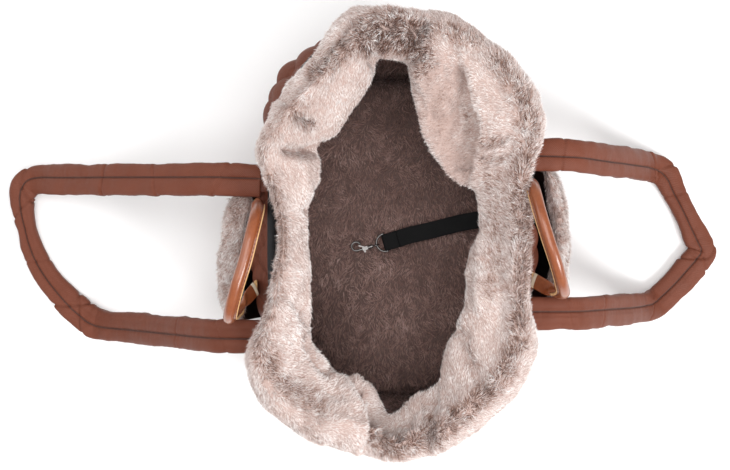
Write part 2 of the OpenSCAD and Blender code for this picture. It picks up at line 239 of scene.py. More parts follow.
@dataclass
class Surface:
    """A smooth surface as a grid of points over two parameters."""

    grid: Array
    wrap_rows: bool = False
    wrap_cols: bool = False

    def faces(self) -> Array:
        """Returns the quads of the grid."""
        rows, cols = self.grid.shape[:2]
        return grid_faces(rows, cols, self.wrap_rows, self.wrap_cols)

    def points(self) -> Array:
        """Returns the grid's points, one a row."""
        return self.grid.reshape(-1, 3)

    def slopes(self) -> tuple[Array, Array]:
        """Central differences of the grid.

        Returns:
            Directions along the rows' order and along the columns' order, of length 1.
        """

        def across(axis: int, wraps: bool) -> Array:
            if wraps:
                return np.roll(self.grid, -1, axis) - np.roll(self.grid, 1, axis)
            return np.gradient(self.grid, axis=axis)

        return unit(across(0, self.wrap_rows)), unit(across(1, self.wrap_cols))

    def normals(self) -> Array:
        """Returns the direction square to the surface at each point, as its quads face."""
        down, along = self.slopes()
        return unit(np.cross(along, down))

    def pushed(self, distance: Array) -> "Surface":
        """The surface moved along its normals.

        Args:
            distance: Distance at each point, in metres.

        Returns:
            A new surface.
        """
        grid = self.grid + self.normals() * np.asarray(distance)[..., None]
        return Surface(grid, self.wrap_rows, self.wrap_cols)

    def cloth(self) -> Array:
        """Returns the distances along the rows' order and the columns' order at each point, in mm."""
        steps = [np.linalg.norm(np.diff(self.grid, axis=k), axis=-1) for k in (0, 1)]
        down = np.pad(np.cumsum(steps[0], 0), ((1, 0), (0, 0)))
        along = np.pad(np.cumsum(steps[1], 1), ((0, 0), (1, 0)))
        return np.stack([down, along, np.zeros_like(down)], -1).reshape(-1, 3) / MM

    def scatter(self, count: int, rng: np.random.Generator, density: Array | None = None) -> "Roots":
        """Spreads random points evenly over the surface's area.

        Args:
            count: Number of points.
            rng: Source of the random numbers.
            density: Relative density at each grid point.

        Returns:
            The points, with the surface's directions there.
        """
        g = self.grid
        if self.wrap_rows:
            g = np.concatenate([g, g[:1]])
        if self.wrap_cols:
            g = np.concatenate([g, g[:, :1]], 1)
        down, along = g[1:, :-1] - g[:-1, :-1], g[:-1, 1:] - g[:-1, :-1]
        area = np.linalg.norm(np.cross(down, along), axis=-1)
        if density is not None:
            area = area * density[: area.shape[0], : area.shape[1]]
        cell = rng.choice(area.size, count, p=area.ravel() / area.sum())
        i, j = np.divmod(cell, area.shape[1])
        s, t = rng.random((count, 1)), rng.random((count, 1))
        a, b, c, d = g[i, j], g[i + 1, j], g[i, j + 1], g[i + 1, j + 1]
        point = (a * (1 - s) + b * s) * (1 - t) + (c * (1 - s) + d * s) * t
        down = unit((b - a) * (1 - t) + (d - c) * t)
        along = unit((c - a) * (1 - s) + (d - b) * s)
        return Roots(point, unit(np.cross(along, down)), down, along, (j + t[:, 0]) / area.shape[1])


@dataclass
class Roots:
    """Where strands stand: their points, the surface's directions there and the share along its columns."""

    point: Array
    normal: Array
    down: Array
    along: Array
    col: Array


def add_piece(
    name: str,
    points: Array,
    faces: list[Array],
    finishes: list["Finish"],
    index: Array | None = None,
    cloth: Array | None = None,
) -> bpy.types.Object:
    """Makes a mesh object at the origin.

    Args:
        name: Name of the piece.
        points: Points, one a row.
        faces: Arrays of faces, all with the same number of corners within one array.
        finishes: What its surfaces are.
        index: Which finish each face has; the first one if it is left out.
        cloth: Distances along and across the cloth at each point, in mm, for a weave to follow.

    Returns:
        The object, linked to the scene.
    """
    mesh = bpy.data.meshes.new(name)
    loops = np.concatenate([f.ravel() for f in faces]).astype(np.int32)
    sides = np.concatenate([np.full(len(f), f.shape[1]) for f in faces])
    starts = np.concatenate([[0], np.cumsum(sides)[:-1]]).astype(np.int32)
    mesh.vertices.add(len(points))
    mesh.vertices.foreach_set("co", np.ascontiguousarray(points, np.float32).ravel())
    mesh.loops.add(len(loops))
    mesh.loops.foreach_set("vertex_index", loops)
    mesh.polygons.add(len(sides))
    mesh.polygons.foreach_set("loop_start", starts)
    mesh.polygons.foreach_set("use_smooth", np.ones(len(sides), bool))
    for finish in finishes:
        mesh.materials.append(finish.material())
    if index is not None:
        mesh.polygons.foreach_set("material_index", index.astype(np.int32))
    mesh.update(calc_edges=True)
    mesh.validate()
    if cloth is not None:
        held = mesh.attributes.new("cloth_mm", "FLOAT_VECTOR", "POINT")
        held.data.foreach_set("vector", np.ascontiguousarray(cloth, np.float32).ravel())
    obj = bpy.data.objects.new(name, mesh)
    bpy.context.scene.collection.objects.link(obj)
    return obj


def closed_ends(surface: Surface) -> list[Array]:
    """Faces of a surface that wraps along its columns, with both end rows closed by fans.

    Args:
        surface: The surface; two middle points come after its own points.

    Returns:
        The quads and the fans' triangles.
    """
    rows, cols = surface.grid.shape[:2]
    k = np.arange(cols)
    first = np.stack([np.full(cols, rows * cols), (k + 1) % cols, k], 1)
    last = (rows - 1) * cols
    end = np.stack([np.full(cols, rows * cols + 1), last + k, last + (k + 1) % cols], 1)
    return [surface.faces(), first, end]


def end_points(surface: Surface) -> Array:
    """Returns the surface's points with the middles of its first and last rows after them."""
    return np.vstack([surface.points(), surface.grid[0].mean(0), surface.grid[-1].mean(0)])


def add_tubes(
    name: str, tubes: list[Surface], finishes: list["Finish"], index: Array | None = None
) -> bpy.types.Object:
    """A piece from several tubes, each closed at both end rows.

    Args:
        name: Name of the piece.
        tubes: Surfaces that wrap along their columns.
        finishes: What its surfaces are.
        index: Which finish each face has.

    Returns:
        The object.
    """
    starts = np.cumsum([0, *(len(t.points()) + 2 for t in tubes)])
    parts = [[f + start for f in closed_ends(t)] for t, start in zip(tubes, starts)]
    faces = [np.concatenate([p[0] for p in parts]), *(fan for p in parts for fan in p[1:])]
    return add_piece(name, np.vstack([end_points(t) for t in tubes]), faces, finishes, index)


def add_closed(
    name: str, surface: Surface, finishes: list["Finish"], index: Array | None = None
) -> bpy.types.Object:
    """A piece from a surface that wraps along its columns, closed at both end rows.

    Args:
        name: Name of the piece.
        surface: The surface.
        finishes: What its surfaces are.
        index: Which finish each row of quads has, or each quad.

    Returns:
        The object.
    """
    cols = surface.grid.shape[1]
    if index is not None:
        rows = np.broadcast_to(index.reshape(len(index), -1), (len(index), cols))
        index = np.concatenate([rows, rows[:1], rows[-1:]]).ravel()
    cloth = np.vstack([surface.cloth(), np.zeros((2, 3))])
    return add_piece(name, end_points(surface), closed_ends(surface), finishes, index, cloth)


def add_slab(name: str, outer: Surface, inner: Surface, finishes: list["Finish"]) -> bpy.types.Object:
    """A closed sheet between two surfaces with the same grid.

    Args:
        name: Name of the piece.
        outer: The face that looks along its normals.
        inner: The face that looks the other way.
        finishes: What the outer face, the inner face and the rim are.

    Returns:
        The object.
    """
    rows, cols = outer.grid.shape[:2]
    count = rows * cols
    face = outer.faces()
    back = face[:, ::-1] + count
    number = np.arange(count).reshape(rows, cols)
    rims = []
    if not outer.wrap_cols:
        rims += [number[:, 0], number[::-1, -1]]
    if not outer.wrap_rows:
        rims += [number[-1, :], number[0, ::-1]]
    strips = []
    for line in rims:
        line = np.append(line, line[0]) if (outer.wrap_cols or outer.wrap_rows) else line
        a, b = line[:-1], line[1:]
        strips.append(np.stack([a, b, b + count, a + count], 1))
    strip = np.concatenate(strips)
    index = np.repeat([0, min(1, len(finishes) - 1), len(finishes) - 1], [len(face), len(back), len(strip)])
    points = np.vstack([outer.points(), inner.points()])
    return add_piece(name, points, [face, back, strip], finishes, index, np.tile(outer.cloth(), (2, 1)))


def ring_frame(line: Array, side: Array) -> tuple[Array, Array, Array]:
    """Directions along a path, with a side direction kept as far as the path allows.

    Args:
        line: Points of the path.
        side: One direction, or one for each point.

    Returns:
        Directions along the path, to its side, and over it.
    """
    along = unit(np.gradient(line, axis=0))
    side = np.broadcast_to(side, line.shape)
    across = unit(side - along * (side * along).sum(1, keepdims=True))
    return along, across, np.cross(along, across)


def swept(line: Array, across: Array, over: Array, section: Array) -> Surface:
    """A tube with a section carried along a path.

    Args:
        line: Points of the path.
        across: First direction of the section at each point.
        over: Second direction.
        section: Section points, either (sides, 2) or (path points, sides, 2).

    Returns:
        The tube's surface, which wraps along its columns.
    """
    section = np.broadcast_to(section, (len(line), *section.shape[-2:]))
    grid = line[:, None] + section[..., :1] * across[:, None] + section[..., 1:] * over[:, None]
    return Surface(grid, wrap_cols=True)


def oval_section(sides: int, half_w: Array, half_t: Array, power: float) -> Array:
    """A superellipse section: each half size times cos or sin raised to 2 / power.

    Args:
        sides: Number of points.
        half_w: Half width, one number or one for each ring.
        half_t: Half thickness, likewise.
        power: 2 for an ellipse, more for squarer.

    Returns:
        Section points with the sides turning against the path's direction.
    """
    a = 2 * math.pi * (np.arange(sides) + 0.5) / sides
    w = np.atleast_1d(half_w)[:, None] * signed_power(np.cos(a), 2 / power)
    t = np.atleast_1d(half_t)[:, None] * signed_power(np.sin(a), 2 / power)
    return np.stack([w, t], -1)


# ---------------------------------------------------------------- finishes


def linear(code: str) -> tuple[float, float, float, float]:
    """An sRGB hex colour in linear light.

    Args:
        code: Colour such as "#aabbcc".

    Returns:
        Red, green, blue and alpha.
    """
    v = np.array([int(code[i : i + 2], 16) / 255 for i in (1, 3, 5)])
    v = np.where(v <= 0.04045, v / 12.92, ((v + 0.055) / 1.055) ** 2.4)
    return (*(float(x) for x in v), 1.0)


def add_node(
    tree: bpy.types.NodeTree, kind: str, at: tuple[int, int], inputs: dict | None = None, **settings: object
) -> bpy.types.Node:
    """Adds a node with its settings, values and links.

    Args:
        tree: Node tree.
        kind: Node type.
        at: Place in the editor.
        inputs: Value or output socket for each input.
        settings: The node's own settings.

    Returns:
        The node.
    """
    node = tree.nodes.new(kind)
    node.location = at
    for key, value in settings.items():
        setattr(node, key, value)
    for key, value in (inputs or {}).items():
        if isinstance(value, bpy.types.NodeSocket):
            tree.links.new(value, node.inputs[key])
        else:
            node.inputs[key].default_value = value
    return node


@dataclass(frozen=True)
class Finish:
    """A surface whose colour drifts between two shades, with a fine grain and, on cloth, a weave.

    Drift and grain are noise of real sizes in millimetres, read from object coordinates. The weave is
    sin(2 pi u / t) sin(2 pi v / t) over the cloth's own millimetres u and v, t being its thread.
    """

    name: str
    colour: str
    roughness: float = 0.6
    sheen: float = 0.0
    metal: float = 0.0
    coat: float = 0.0
    specular: float = 0.5
    grain: float = 1.0
    relief: float = 0.0
    second: str = ""
    drift: float = 25.0
    thread: float = 0.0

    def material(self) -> bpy.types.Material:
        """Returns the material, made the first time it is asked for."""
        found = bpy.data.materials.get(self.name)
        if found:
            return found
        made = bpy.data.materials.new(self.name)
        made.use_nodes = True
        tree = made.node_tree
        shader = tree.nodes["Principled BSDF"]
        shader.inputs["Base Color"].default_value = linear(self.colour)
        made.diffuse_color = linear(self.colour)
        for socket, value in (
            ("Roughness", self.roughness),
            ("Metallic", self.metal),
            ("Sheen Weight", self.sheen),
            ("Coat Weight", self.coat),
            ("Specular IOR Level", self.specular),
        ):
            shader.inputs[socket].default_value = value
        shader.inputs["Coat Roughness"].default_value = 0.08
        if self.relief:
            self.add_pattern(tree, shader)
        return made

    def add_pattern(self, tree: bpy.types.NodeTree, shader: bpy.types.Node) -> None:
        """Raises the surface by its grain and weave, and lets colour and roughness drift.

        Args:
            tree: The material's tree.
            shader: Its shader.
        """
        spot = add_node(tree, "ShaderNodeTexCoord", (-1200, 0)).outputs["Object"]
        grain, drift = (
            add_node(tree, "ShaderNodeTexNoise", (-900, y), {"Vector": spot, "Scale": scale, "Detail": 3.0})
            for y, scale in ((-300, 1000 / self.grain), (200, 1000 / self.drift))
        )
        height = grain.outputs["Fac"]
        if self.thread:
            woven = {0: self.weave(tree), 1: 0.5, 2: height}
            summed = add_node(tree, "ShaderNodeMath", (-450, -300), woven, operation="MULTIPLY_ADD")
            height = summed.outputs[0]
        raised = {"Height": height, "Distance": self.relief * MM, "Strength": 1.0}
        bump = add_node(tree, "ShaderNodeBump", (-250, -300), raised)
        tree.links.new(bump.outputs["Normal"], shader.inputs["Normal"])
        rough = add_node(
            tree,
            "ShaderNodeMapRange",
            (-450, 0),
            {0: drift.outputs["Fac"], 1: 0.3, 2: 0.7, 3: self.roughness - 0.06, 4: self.roughness + 0.06},
        )
        tree.links.new(rough.outputs[0], shader.inputs["Roughness"])
        if self.second:
            summed = {0: drift.outputs["Fac"], 1: height, 2: 0.0}
            share = add_node(tree, "ShaderNodeMath", (-650, 300), summed, operation="ADD")
            share = add_node(tree, "ShaderNodeMapRange", (-450, 300), {0: share.outputs[0], 1: 0.65, 2: 1.35})
            mixed = add_node(
                tree,
                "ShaderNodeMix",
                (-250, 300),
                {0: share.outputs[0], 6: linear(self.colour), 7: linear(self.second)},
                data_type="RGBA",
            )
            tree.links.new(mixed.outputs[2], shader.inputs["Base Color"])

    def weave(self, tree: bpy.types.NodeTree) -> bpy.types.NodeSocket:
        """Draws the plain weave over the cloth's own millimetres.

        Args:
            tree: The material's tree.

        Returns:
            The socket with its height, -1 to 1.
        """
        cloth = add_node(tree, "ShaderNodeAttribute", (-1200, -600), attribute_name="cloth_mm")
        split = add_node(tree, "ShaderNodeSeparateXYZ", (-1050, -600), {0: cloth.outputs["Vector"]})
        turns = 2 * math.pi / self.thread
        waves = []
        for k in (0, 1):
            y = -550 - 150 * k
            phase = add_node(
                tree, "ShaderNodeMath", (-900, y), {0: split.outputs[k], 1: turns}, operation="MULTIPLY"
            )
            wave = add_node(tree, "ShaderNodeMath", (-750, y), {0: phase.outputs[0]}, operation="SINE")
            waves.append(wave.outputs[0])
        both = add_node(tree, "ShaderNodeMath", (-600, -600), dict(enumerate(waves)), operation="MULTIPLY")
        return both.outputs[0]


# Woven nylon, matt, with threads drawn at 2.4 mm instead of about 0.4 mm so that they show at all.
BROWN_NYLON = Finish(
    "brown_nylon", "#622f1b", specular=0.3, grain=1.6, relief=0.18, second="#703d2c", drift=18, thread=2.4
)
# Smooth black nylon inside the pockets and under the collar, shiny enough to catch a blue-grey light.
BLACK_NYLON = Finish(
    "black_nylon", "#0c0d10", 0.5, specular=0.4, grain=9.0, relief=0.25, second="#131418", thread=2.4
)
# Black webbing with coarse ribs 2 mm apart, drier than the nylon.
BLACK_WEBBING = Finish(
    "black_webbing",
    "#0b0b0c",
    0.75,
    specular=0.25,
    relief=0.25,
    second="#161617",
    drift=12,
    thread=2.0,
)
BROWN_THREAD = Finish("brown_thread", "#4a2c24", 0.8, grain=1.5, relief=0.2, second="#5b3a30")
# Glossy tan leather with a thin clear coat, which gives the sharp white highlights.
TAN_LEATHER = Finish(
    "tan_leather", "#7a3a19", 0.36, coat=0.45, grain=3.0, relief=0.12, second="#8d4c25", drift=22
)
# Raw cut edge of the leather, pale and dry.
RAW_EDGE = Finish("leather_raw_edge", "#d3ad7c", 0.8, grain=2.0, relief=0.15, second="#b98c5b", drift=8)
TAN_THREAD = Finish("leather_stitch", "#5f2c14", 0.7)
# Undyed cloth behind the sewn ends of the grips.
CREAM_BACKING = Finish("cream_backing", "#e6dcc8", 0.85, grain=2.0, relief=0.2, second="#d3c4a8", drift=9)
# Plated steel, bright where it faces a lamp and grey elsewhere.
NICKEL = Finish("nickel_plate", "#6a6766", 0.38, metal=1.0, grain=2.0, relief=0.02, second="#7e7b79", drift=6)
BOARD = Finish("stiffening_board", "#2a2623", 0.8, grain=3.0, relief=0.2, second="#37322e")
# Pelts: the cloth that the pile stands on, seen only between strands.
PALE_PELT = Finish("pale_pelt", "#b9a39b", 0.95, grain=3.0, relief=0.8, second="#a89088")
BROWN_PELT = Finish("brown_pelt", "#6e5852", 0.95, grain=3.0, relief=0.8, second="#5c4843")
FLOOR = Finish("studio_floor", "#fbfbfb", 0.95)


@dataclass(frozen=True)
class Pile:
    """Faux-fur pile: flat tapering strands, darker at the root than at the tip.

    Shades run from dark to pale, and each strand picks one for its root and one for its tip.
    """

    name: str
    shades: tuple[str, ...]
    length: float
    width: float
    lift: float
    swirl: float

    def finishes(self) -> list[Finish]:
        """Returns the finish of each shade, soft and matt, paler where light grazes it."""
        codes = enumerate(self.shades)
        return [Finish(f"{self.name}_shade_{i}", code, 0.75, sheen=0.35) for i, code in codes]

    def grow(
        self,
        name: str,
        roots: Roots,
        comb: Array,
        root_tone: Array,
        tip_tone: Array,
        rng: np.random.Generator,
        lift: Array | float = 1.0,
        long: Array | float = 1.0,
    ) -> bpy.types.Object:
        """Grows strands of three triangles each.

        A strand leaves its root between the comb direction and the normal, and its upper half leans
        further along the comb. Its flat side turns about the strand by up to a third of a turn.

        Args:
            name: Name of the piece.
            roots: Where the strands stand.
            comb: Direction in which they lie.
            root_tone: Shade of the lower half, 0 dark to 1 pale.
            tip_tone: Shade of the upper half.
            rng: Source of the random numbers.
            lift: Factor on how steeply they stand.
            long: Factor on their length.

        Returns:
            The piece.
        """
        n = len(roots.point)
        normal = roots.normal
        comb = unit(comb - normal * (comb * normal).sum(1, keepdims=True))
        jitter = rng.normal(size=(n, 3)) * self.swirl
        rise = np.clip(self.lift * np.broadcast_to(lift, n) * rng.uniform(0.6, 1.4, n), 0.02, 1.5)[:, None]
        lower = unit(comb * np.cos(rise) + normal * np.sin(rise) + jitter)
        upper = unit(lower + comb * 0.55 - normal * 0.15 + jitter * 0.5)
        size = (self.length * np.broadcast_to(long, n) * rng.uniform(0.65, 1.25, n))[:, None]
        twist = rng.uniform(-0.75, 0.75, (n, 1))
        side = unit(np.cross(lower, normal))
        side = side * np.cos(twist) + np.cross(lower, side) * np.sin(twist)
        half = (self.width / 2 * rng.uniform(0.7, 1.3, n))[:, None]
        start = roots.point - normal * 0.0006
        middle = start + lower * size * 0.5
        tip = middle + upper * size * 0.5
        foot, waist = side * half, side * half * 0.75
        points = np.stack([start - foot, start + foot, middle - waist, middle + waist, tip], 1).reshape(-1, 3)
        base = 5 * np.arange(n)[:, None, None]
        faces = (base + np.array([[0, 1, 3], [0, 3, 2], [2, 3, 4]])[None]).reshape(-1, 3)
        last = len(self.shades) - 1
        low = np.clip(np.rint(root_tone * last), 0, last)
        high = np.clip(np.rint(tip_tone * last), 0, last)
        index = np.stack([low, low, high], 1).ravel()
        return add_piece(name, points, [faces], self.finishes(), index)


# Pile of the collar: cream tips over taupe and brown.
PALE_PILE = Pile(
    "pale_pile",
    ("#5a392c", "#7b5848", "#987a6d", "#b2978d", "#c4aea7", "#d4c6c1", "#e2dad7", "#ece9e8"),
    0.0086,
    0.00062,
    0.30,
    0.17,
)
# Pile of the inside: taupe and dark brown with a few warm strands.
BROWN_PILE = Pile(
    "brown_pile",
    ("#523b36", "#71554d", "#8f6d65", "#aa877e", "#c2a198", "#d8bcb4"),
    0.0080,
    0.00065,
    0.34,
    0.34,
)


# ---------------------------------------------------------------- the bag's wall


@dataclass(frozen=True)
class Wall:
    """The bag's wall as a stack of rounded ovals, x = w cos^(2/p), y = l sin^(2/p)."""

    half_w: float = 0.155
    half_l: float = 0.233
    power: float = 2.8
    top: float = 0.214
    levels: tuple[tuple[float, float, float], ...] = (
        (0, 0.79, 0.86),
        (7, 0.82, 0.88),
        (30, 0.89, 0.93),
        (60, 0.95, 0.97),
        (100, 0.985, 0.99),
        (140, 1, 1),
        (180, 0.95, 0.985),
        (218, 0.88, 0.95),
    )

    def sizes(self, z: Array, off: Array) -> tuple[Array, Array]:
        """Half width and half length at a height.

        Args:
            z: Heights.
            off: Distance out from the outer face.

        Returns:
            Half widths and half lengths.
        """
        table = np.array(self.levels)
        mm = np.asarray(z) / MM
        wide = np.interp(mm, table[:, 0], table[:, 1]) * self.half_w + off
        return wide, np.interp(mm, table[:, 0], table[:, 2]) * self.half_l + off

    def outline(self) -> tuple[Array, Array]:
        """The belly's oval, measured in small steps.

        Returns:
            Angles in radians from +X anticlockwise, and the distance along the oval to each.
        """
        a = np.linspace(0, 2 * math.pi, OUTLINE_STEPS + 1)
        p = 2 / self.power
        x, y = self.half_w * signed_power(np.cos(a), p), self.half_l * signed_power(np.sin(a), p)
        return a, length_along(np.stack([x, y], 1))

    def angle(self, turn: Array) -> Array:
        """Parameter of the oval at a share of its way round, from +X anticlockwise.

        Args:
            turn: Shares from 0 to 1.

        Returns:
            Angles in radians.
        """
        a, s = self.outline()
        return np.interp(np.asarray(turn) % 1 * s[-1], s, a)

    def girth(self) -> float:
        """Returns the length round the belly."""
        return float(self.outline()[1][-1])

    def at(self, turn: Array, z: Array, off: Array, share: Array | float = 1.0) -> Array:
        """Points on the wall.

        Args:
            turn: Shares of the way round.
            z: Heights.
            off: Distance out from the outer face.
            share: Factor that draws the outline in towards the middle.

        Returns:
            Points.
        """
        a = self.angle(turn)
        wide, deep = self.sizes(z, off)
        p = 2 / self.power
        x = wide * share * signed_power(np.cos(a), p)
        y = deep * share * signed_power(np.sin(a), p)
        return np.stack(np.broadcast_arrays(x, y, np.asarray(z, float)), -1)

    def side_x(self, y: Array, z: Array, off: Array) -> Array:
        """X of the right wall at a place, w (1 - |y / l|^p)^(1/p).

        Args:
            y: Places along the bag.
            z: Heights.
            off: Distance out from the outer face.

        Returns:
            Distances from the middle.
        """
        wide, deep = self.sizes(z, off)
        return wide * np.maximum(1 - np.abs(y / deep) ** self.power, 0) ** (1 / self.power)


WALL = Wall()


def quilting(round_mm: Array, up_mm: Array, cell: float) -> Array:
    """Height of diamond quilting, the product of two slanting sine ridges raised to 0.42.

    Args:
        round_mm: Distance round the wall, in mm.
        up_mm: Distance up it, in mm.
        cell: Size of a diamond over its corners, in mm.

    Returns:
        0 on the seams and 1 in the middle of a puff.
    """
    a = np.sin(math.pi * (round_mm + up_mm) / cell)
    b = np.sin(math.pi * (round_mm - up_mm) / cell)
    return np.abs(a * b) ** 0.42


@dataclass
class QuiltedShell:
    """Outer wall and bottom: puffed diamonds of nylon over wadding, with a black strip along the top."""

    puff: float = 0.0095
    cells: int = 24
    around: int = 480
    rows_up: int = 120
    bulge: float = 0.009
    bulge_at: tuple[float, float] = (-0.124, 0.165)

    def build(self) -> list[bpy.types.Object]:
        """Returns the shell, a closed skin with its back face 8 mm in."""
        z_out = np.linspace(0.007, WALL.top, self.rows_up)
        turn = np.arange(self.around) / self.around
        bottom = np.array([0.02, 0.3, 0.6, 0.85, 0.95, 0.99])
        back = np.linspace(0.205, 0.012, 5)
        z = np.concatenate([np.zeros(6), [0.0015, 0.004], z_out, [0.2155, 0.215], back])
        share = np.concatenate([bottom, np.ones(len(z) - 6)])
        share = np.concatenate([share, [0.7, 0.3, 0.02]])
        z = np.concatenate([z, [0.009, 0.009, 0.009]])
        off = np.zeros(len(z))
        off[6:8] = [-0.002, -0.0005]
        off[8 + self.rows_up :] = -0.008
        off[8 + self.rows_up] = -0.004
        grid = WALL.at(turn[None], z[:, None], off[:, None], share[:, None])
        up = length_along(np.stack([off[8 : 8 + self.rows_up], z_out], 1)) / MM
        cell = WALL.girth() / MM / self.cells
        raised = quilting(turn[None] * WALL.girth() / MM, up[:, None] + 8, cell)
        surface = Surface(grid, wrap_cols=True)
        place = grid[8 : 8 + self.rows_up]
        fade = smooth(up, 0, 10) * (1 - smooth(z_out, 0.203, 0.211))
        flat = place[..., :2]
        side = hump(place[..., 1], -0.02, 0.06) * hump(z_out, 0.180, 0.03)[:, None]
        away = np.linalg.norm(flat - self.bulge_at, axis=-1)
        corner = hump(away, 0, 0.045) * hump(z_out, 0.165, 0.035)[:, None]
        crease = Noise(0.018, 3)(place) * 0.0006 * (1.2 - raised) + Noise(0.05, 4)(place) * 0.001
        out = (raised - 0.75) * self.puff * (1 + 0.5 * corner) + side * 0.012 + corner * self.bulge + crease
        out = out * fade[:, None]
        push = np.zeros(grid.shape[:2])
        push[8 : 8 + self.rows_up] = out
        normals = surface.normals()
        surface = Surface(grid + normals * push[..., None], wrap_cols=True)
        kinds = np.zeros(len(z) - 1, int)
        kinds[8 + int(self.rows_up * 0.98) : 8 + self.rows_up + 6] = 1
        body = add_closed("quilted_shell", surface, [BROWN_NYLON, BLACK_NYLON], kinds)
        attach(body, BAG)
        walls = [f"{kind}_{n}" for kind in ("shell", "wadding") for n in ("right", "far", "left", "near")]
        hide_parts("base_panel", *walls)
        return [body]

    def add_piping(self) -> bpy.types.Object:
        """Returns the bound edge where the wall meets the bottom."""
        turn = np.arange(360) / 360
        line = WALL.at(turn, np.full(360, 0.0065), np.full(360, 0.0005))
        out = unit(line * [1, 1, 0])
        a = (2 * math.pi * np.arange(10) / 10)[:, None]
        grid = line[:, None] + 0.003 * (np.cos(a) * out[:, None] + np.sin(a) * np.array([0, 0, 1]))
        surface = Surface(grid[::-1], wrap_rows=True, wrap_cols=True)
        piping = add_piece("base_piping", surface.points(), [surface.faces()], [BROWN_THREAD])
        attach(piping, BAG)
        return piping


@dataclass
class FurLining:
    """Fur over the inside of the walls, combed along the bag."""

    strands: int = 86000
    pieces: int = 2

    def build(self) -> list[bpy.types.Object]:
        """Returns the pelt and its pile."""
        count = 240
        turn = np.arange(count) / count
        z = np.linspace(0.216, 0.012, 36)
        inner = WALL.at(turn[None], z[:, None], np.full((36, 1), -0.0215))
        inner = Surface(inner, wrap_cols=True).pushed(Noise(0.09, 11)(inner) * 0.002)
        outer = Surface(WALL.at(turn[None], z[:, None], np.full((36, 1), -0.0145)), wrap_cols=True)
        pelt = add_slab("lining_pelt", inner, outer, [BROWN_PELT])
        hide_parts(*(f"lining_{n}" for n in ("right", "far", "left", "near")))
        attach(pelt, BAG)
        rng = np.random.default_rng(21)
        made = [pelt]
        for part in range(self.pieces):
            roots = inner.scatter(self.strands // self.pieces, rng)
            comb, root, tip, lift = brown_fur(roots, rng)
            fur = BROWN_PILE.grow(f"lining_pile_{part}", roots, comb, root, tip, rng, lift)
            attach(fur, BAG)
            made.append(fur)
        return made


def brown_fur(roots: Roots, rng: np.random.Generator) -> tuple[Array, Array, Array, Array]:
    """Lie and shades of the fur inside: long streaks along the bag, redder and greyer patches, with
    painted shade towards -Y and a painted pool of light near x -45 mm, y -65 mm.

    Args:
        roots: Where the strands stand.
        rng: Source of the random numbers.

    Returns:
        Comb direction, root tone, tip tone and lift factor.
    """
    p = roots.point
    streak = Noise(0.010, 31)(p * [0.8, 0.5, 0.6])
    patch = Noise(0.05, 32)(p * [0.7, 1.0, 0.7])
    sway = Noise(0.022, 33)(p)
    drift = np.stack([sway * 0.9, Noise(0.05, 35)(p) * 0.5, Noise(0.04, 34)(p) * 0.3], 1)
    comb = np.array([0.0, -0.8, -0.35]) + drift
    cloud = Noise(0.018, 36)(p)
    # Painted shade darkens the fur towards -Y; a painted pool of light pales it in a patch near x -45 mm, y
    # -65 mm.
    painted_light_patch = hump(np.hypot(p[:, 0] + 0.045, p[:, 1] + 0.065), 0, 0.05)
    shade = smooth(-p[:, 1], 0.10, 0.19) * 0.14 - painted_light_patch * 0.12
    tip = 0.56 - shade + streak * 0.05 + cloud * 0.10 + patch * 0.12 + rng.normal(size=len(p)) * 0.12
    root = tip - 0.17 + rng.normal(size=len(p)) * 0.08
    return comb, root, tip, 1 + 0.35 * streak


@dataclass
class Cushion:
    """Stuffed floor cushion: a pillow outline, rounded at its edge, in the lining's fur."""

    top: float = 0.055
    low: float = 0.0108
    strands: int = 50000

    def build(self) -> list[bpy.types.Object]:
        """Returns the pillow and its pile."""
        around, rows = 260, 46
        turn = np.arange(around) / around
        form = [(0.02, 0), (0.4, 0), (0.8, 0), (0.96, 0.06), (1, 0.3), (1, 0.55), (0.97, 0.8), (0.9, 0.93)]
        form = run([*form, (0.7, 0.98), (0.4, 1), (0.02, 1)], rows)
        share, z = form[:, 0], self.low + (self.top - self.low) * form[:, 1]
        base = WALL.at(turn, np.full(around, 0.04), np.full(around, -0.0305))
        grid = base[None] * share[:, None, None] * [1, 1, 0] + z[:, None, None] * [0, 0, 1]
        grid = grid + np.array([0, 0, 0.0015]) * Noise(0.12, 41)(grid)[..., None] * share[:, None, None]
        surface = Surface(grid, wrap_cols=True)
        pillow = add_closed("cushion_pillow", surface, [BROWN_PELT])
        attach(pillow, BAG)
        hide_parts("cushion_cover", "cushion_filling")
        rng = np.random.default_rng(22)
        high = np.broadcast_to(grid[..., 2] > self.low + 0.012, grid.shape[:2]).astype(float)
        roots = surface.scatter(self.strands, rng, high)
        comb, root, tip, lift = brown_fur(roots, rng)
        fur = BROWN_PILE.grow("cushion_pile", roots, comb, root, tip, rng, lift * 0.8)
        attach(fur, BAG)
        return [pillow, fur]


# ---------------------------------------------------------------- the collar


class Form(Enum):
    """How a fold shapes the collar: a furrow or ridge along a line, or a step down to its left."""

    FURROW = "furrow"
    STEP = "step"


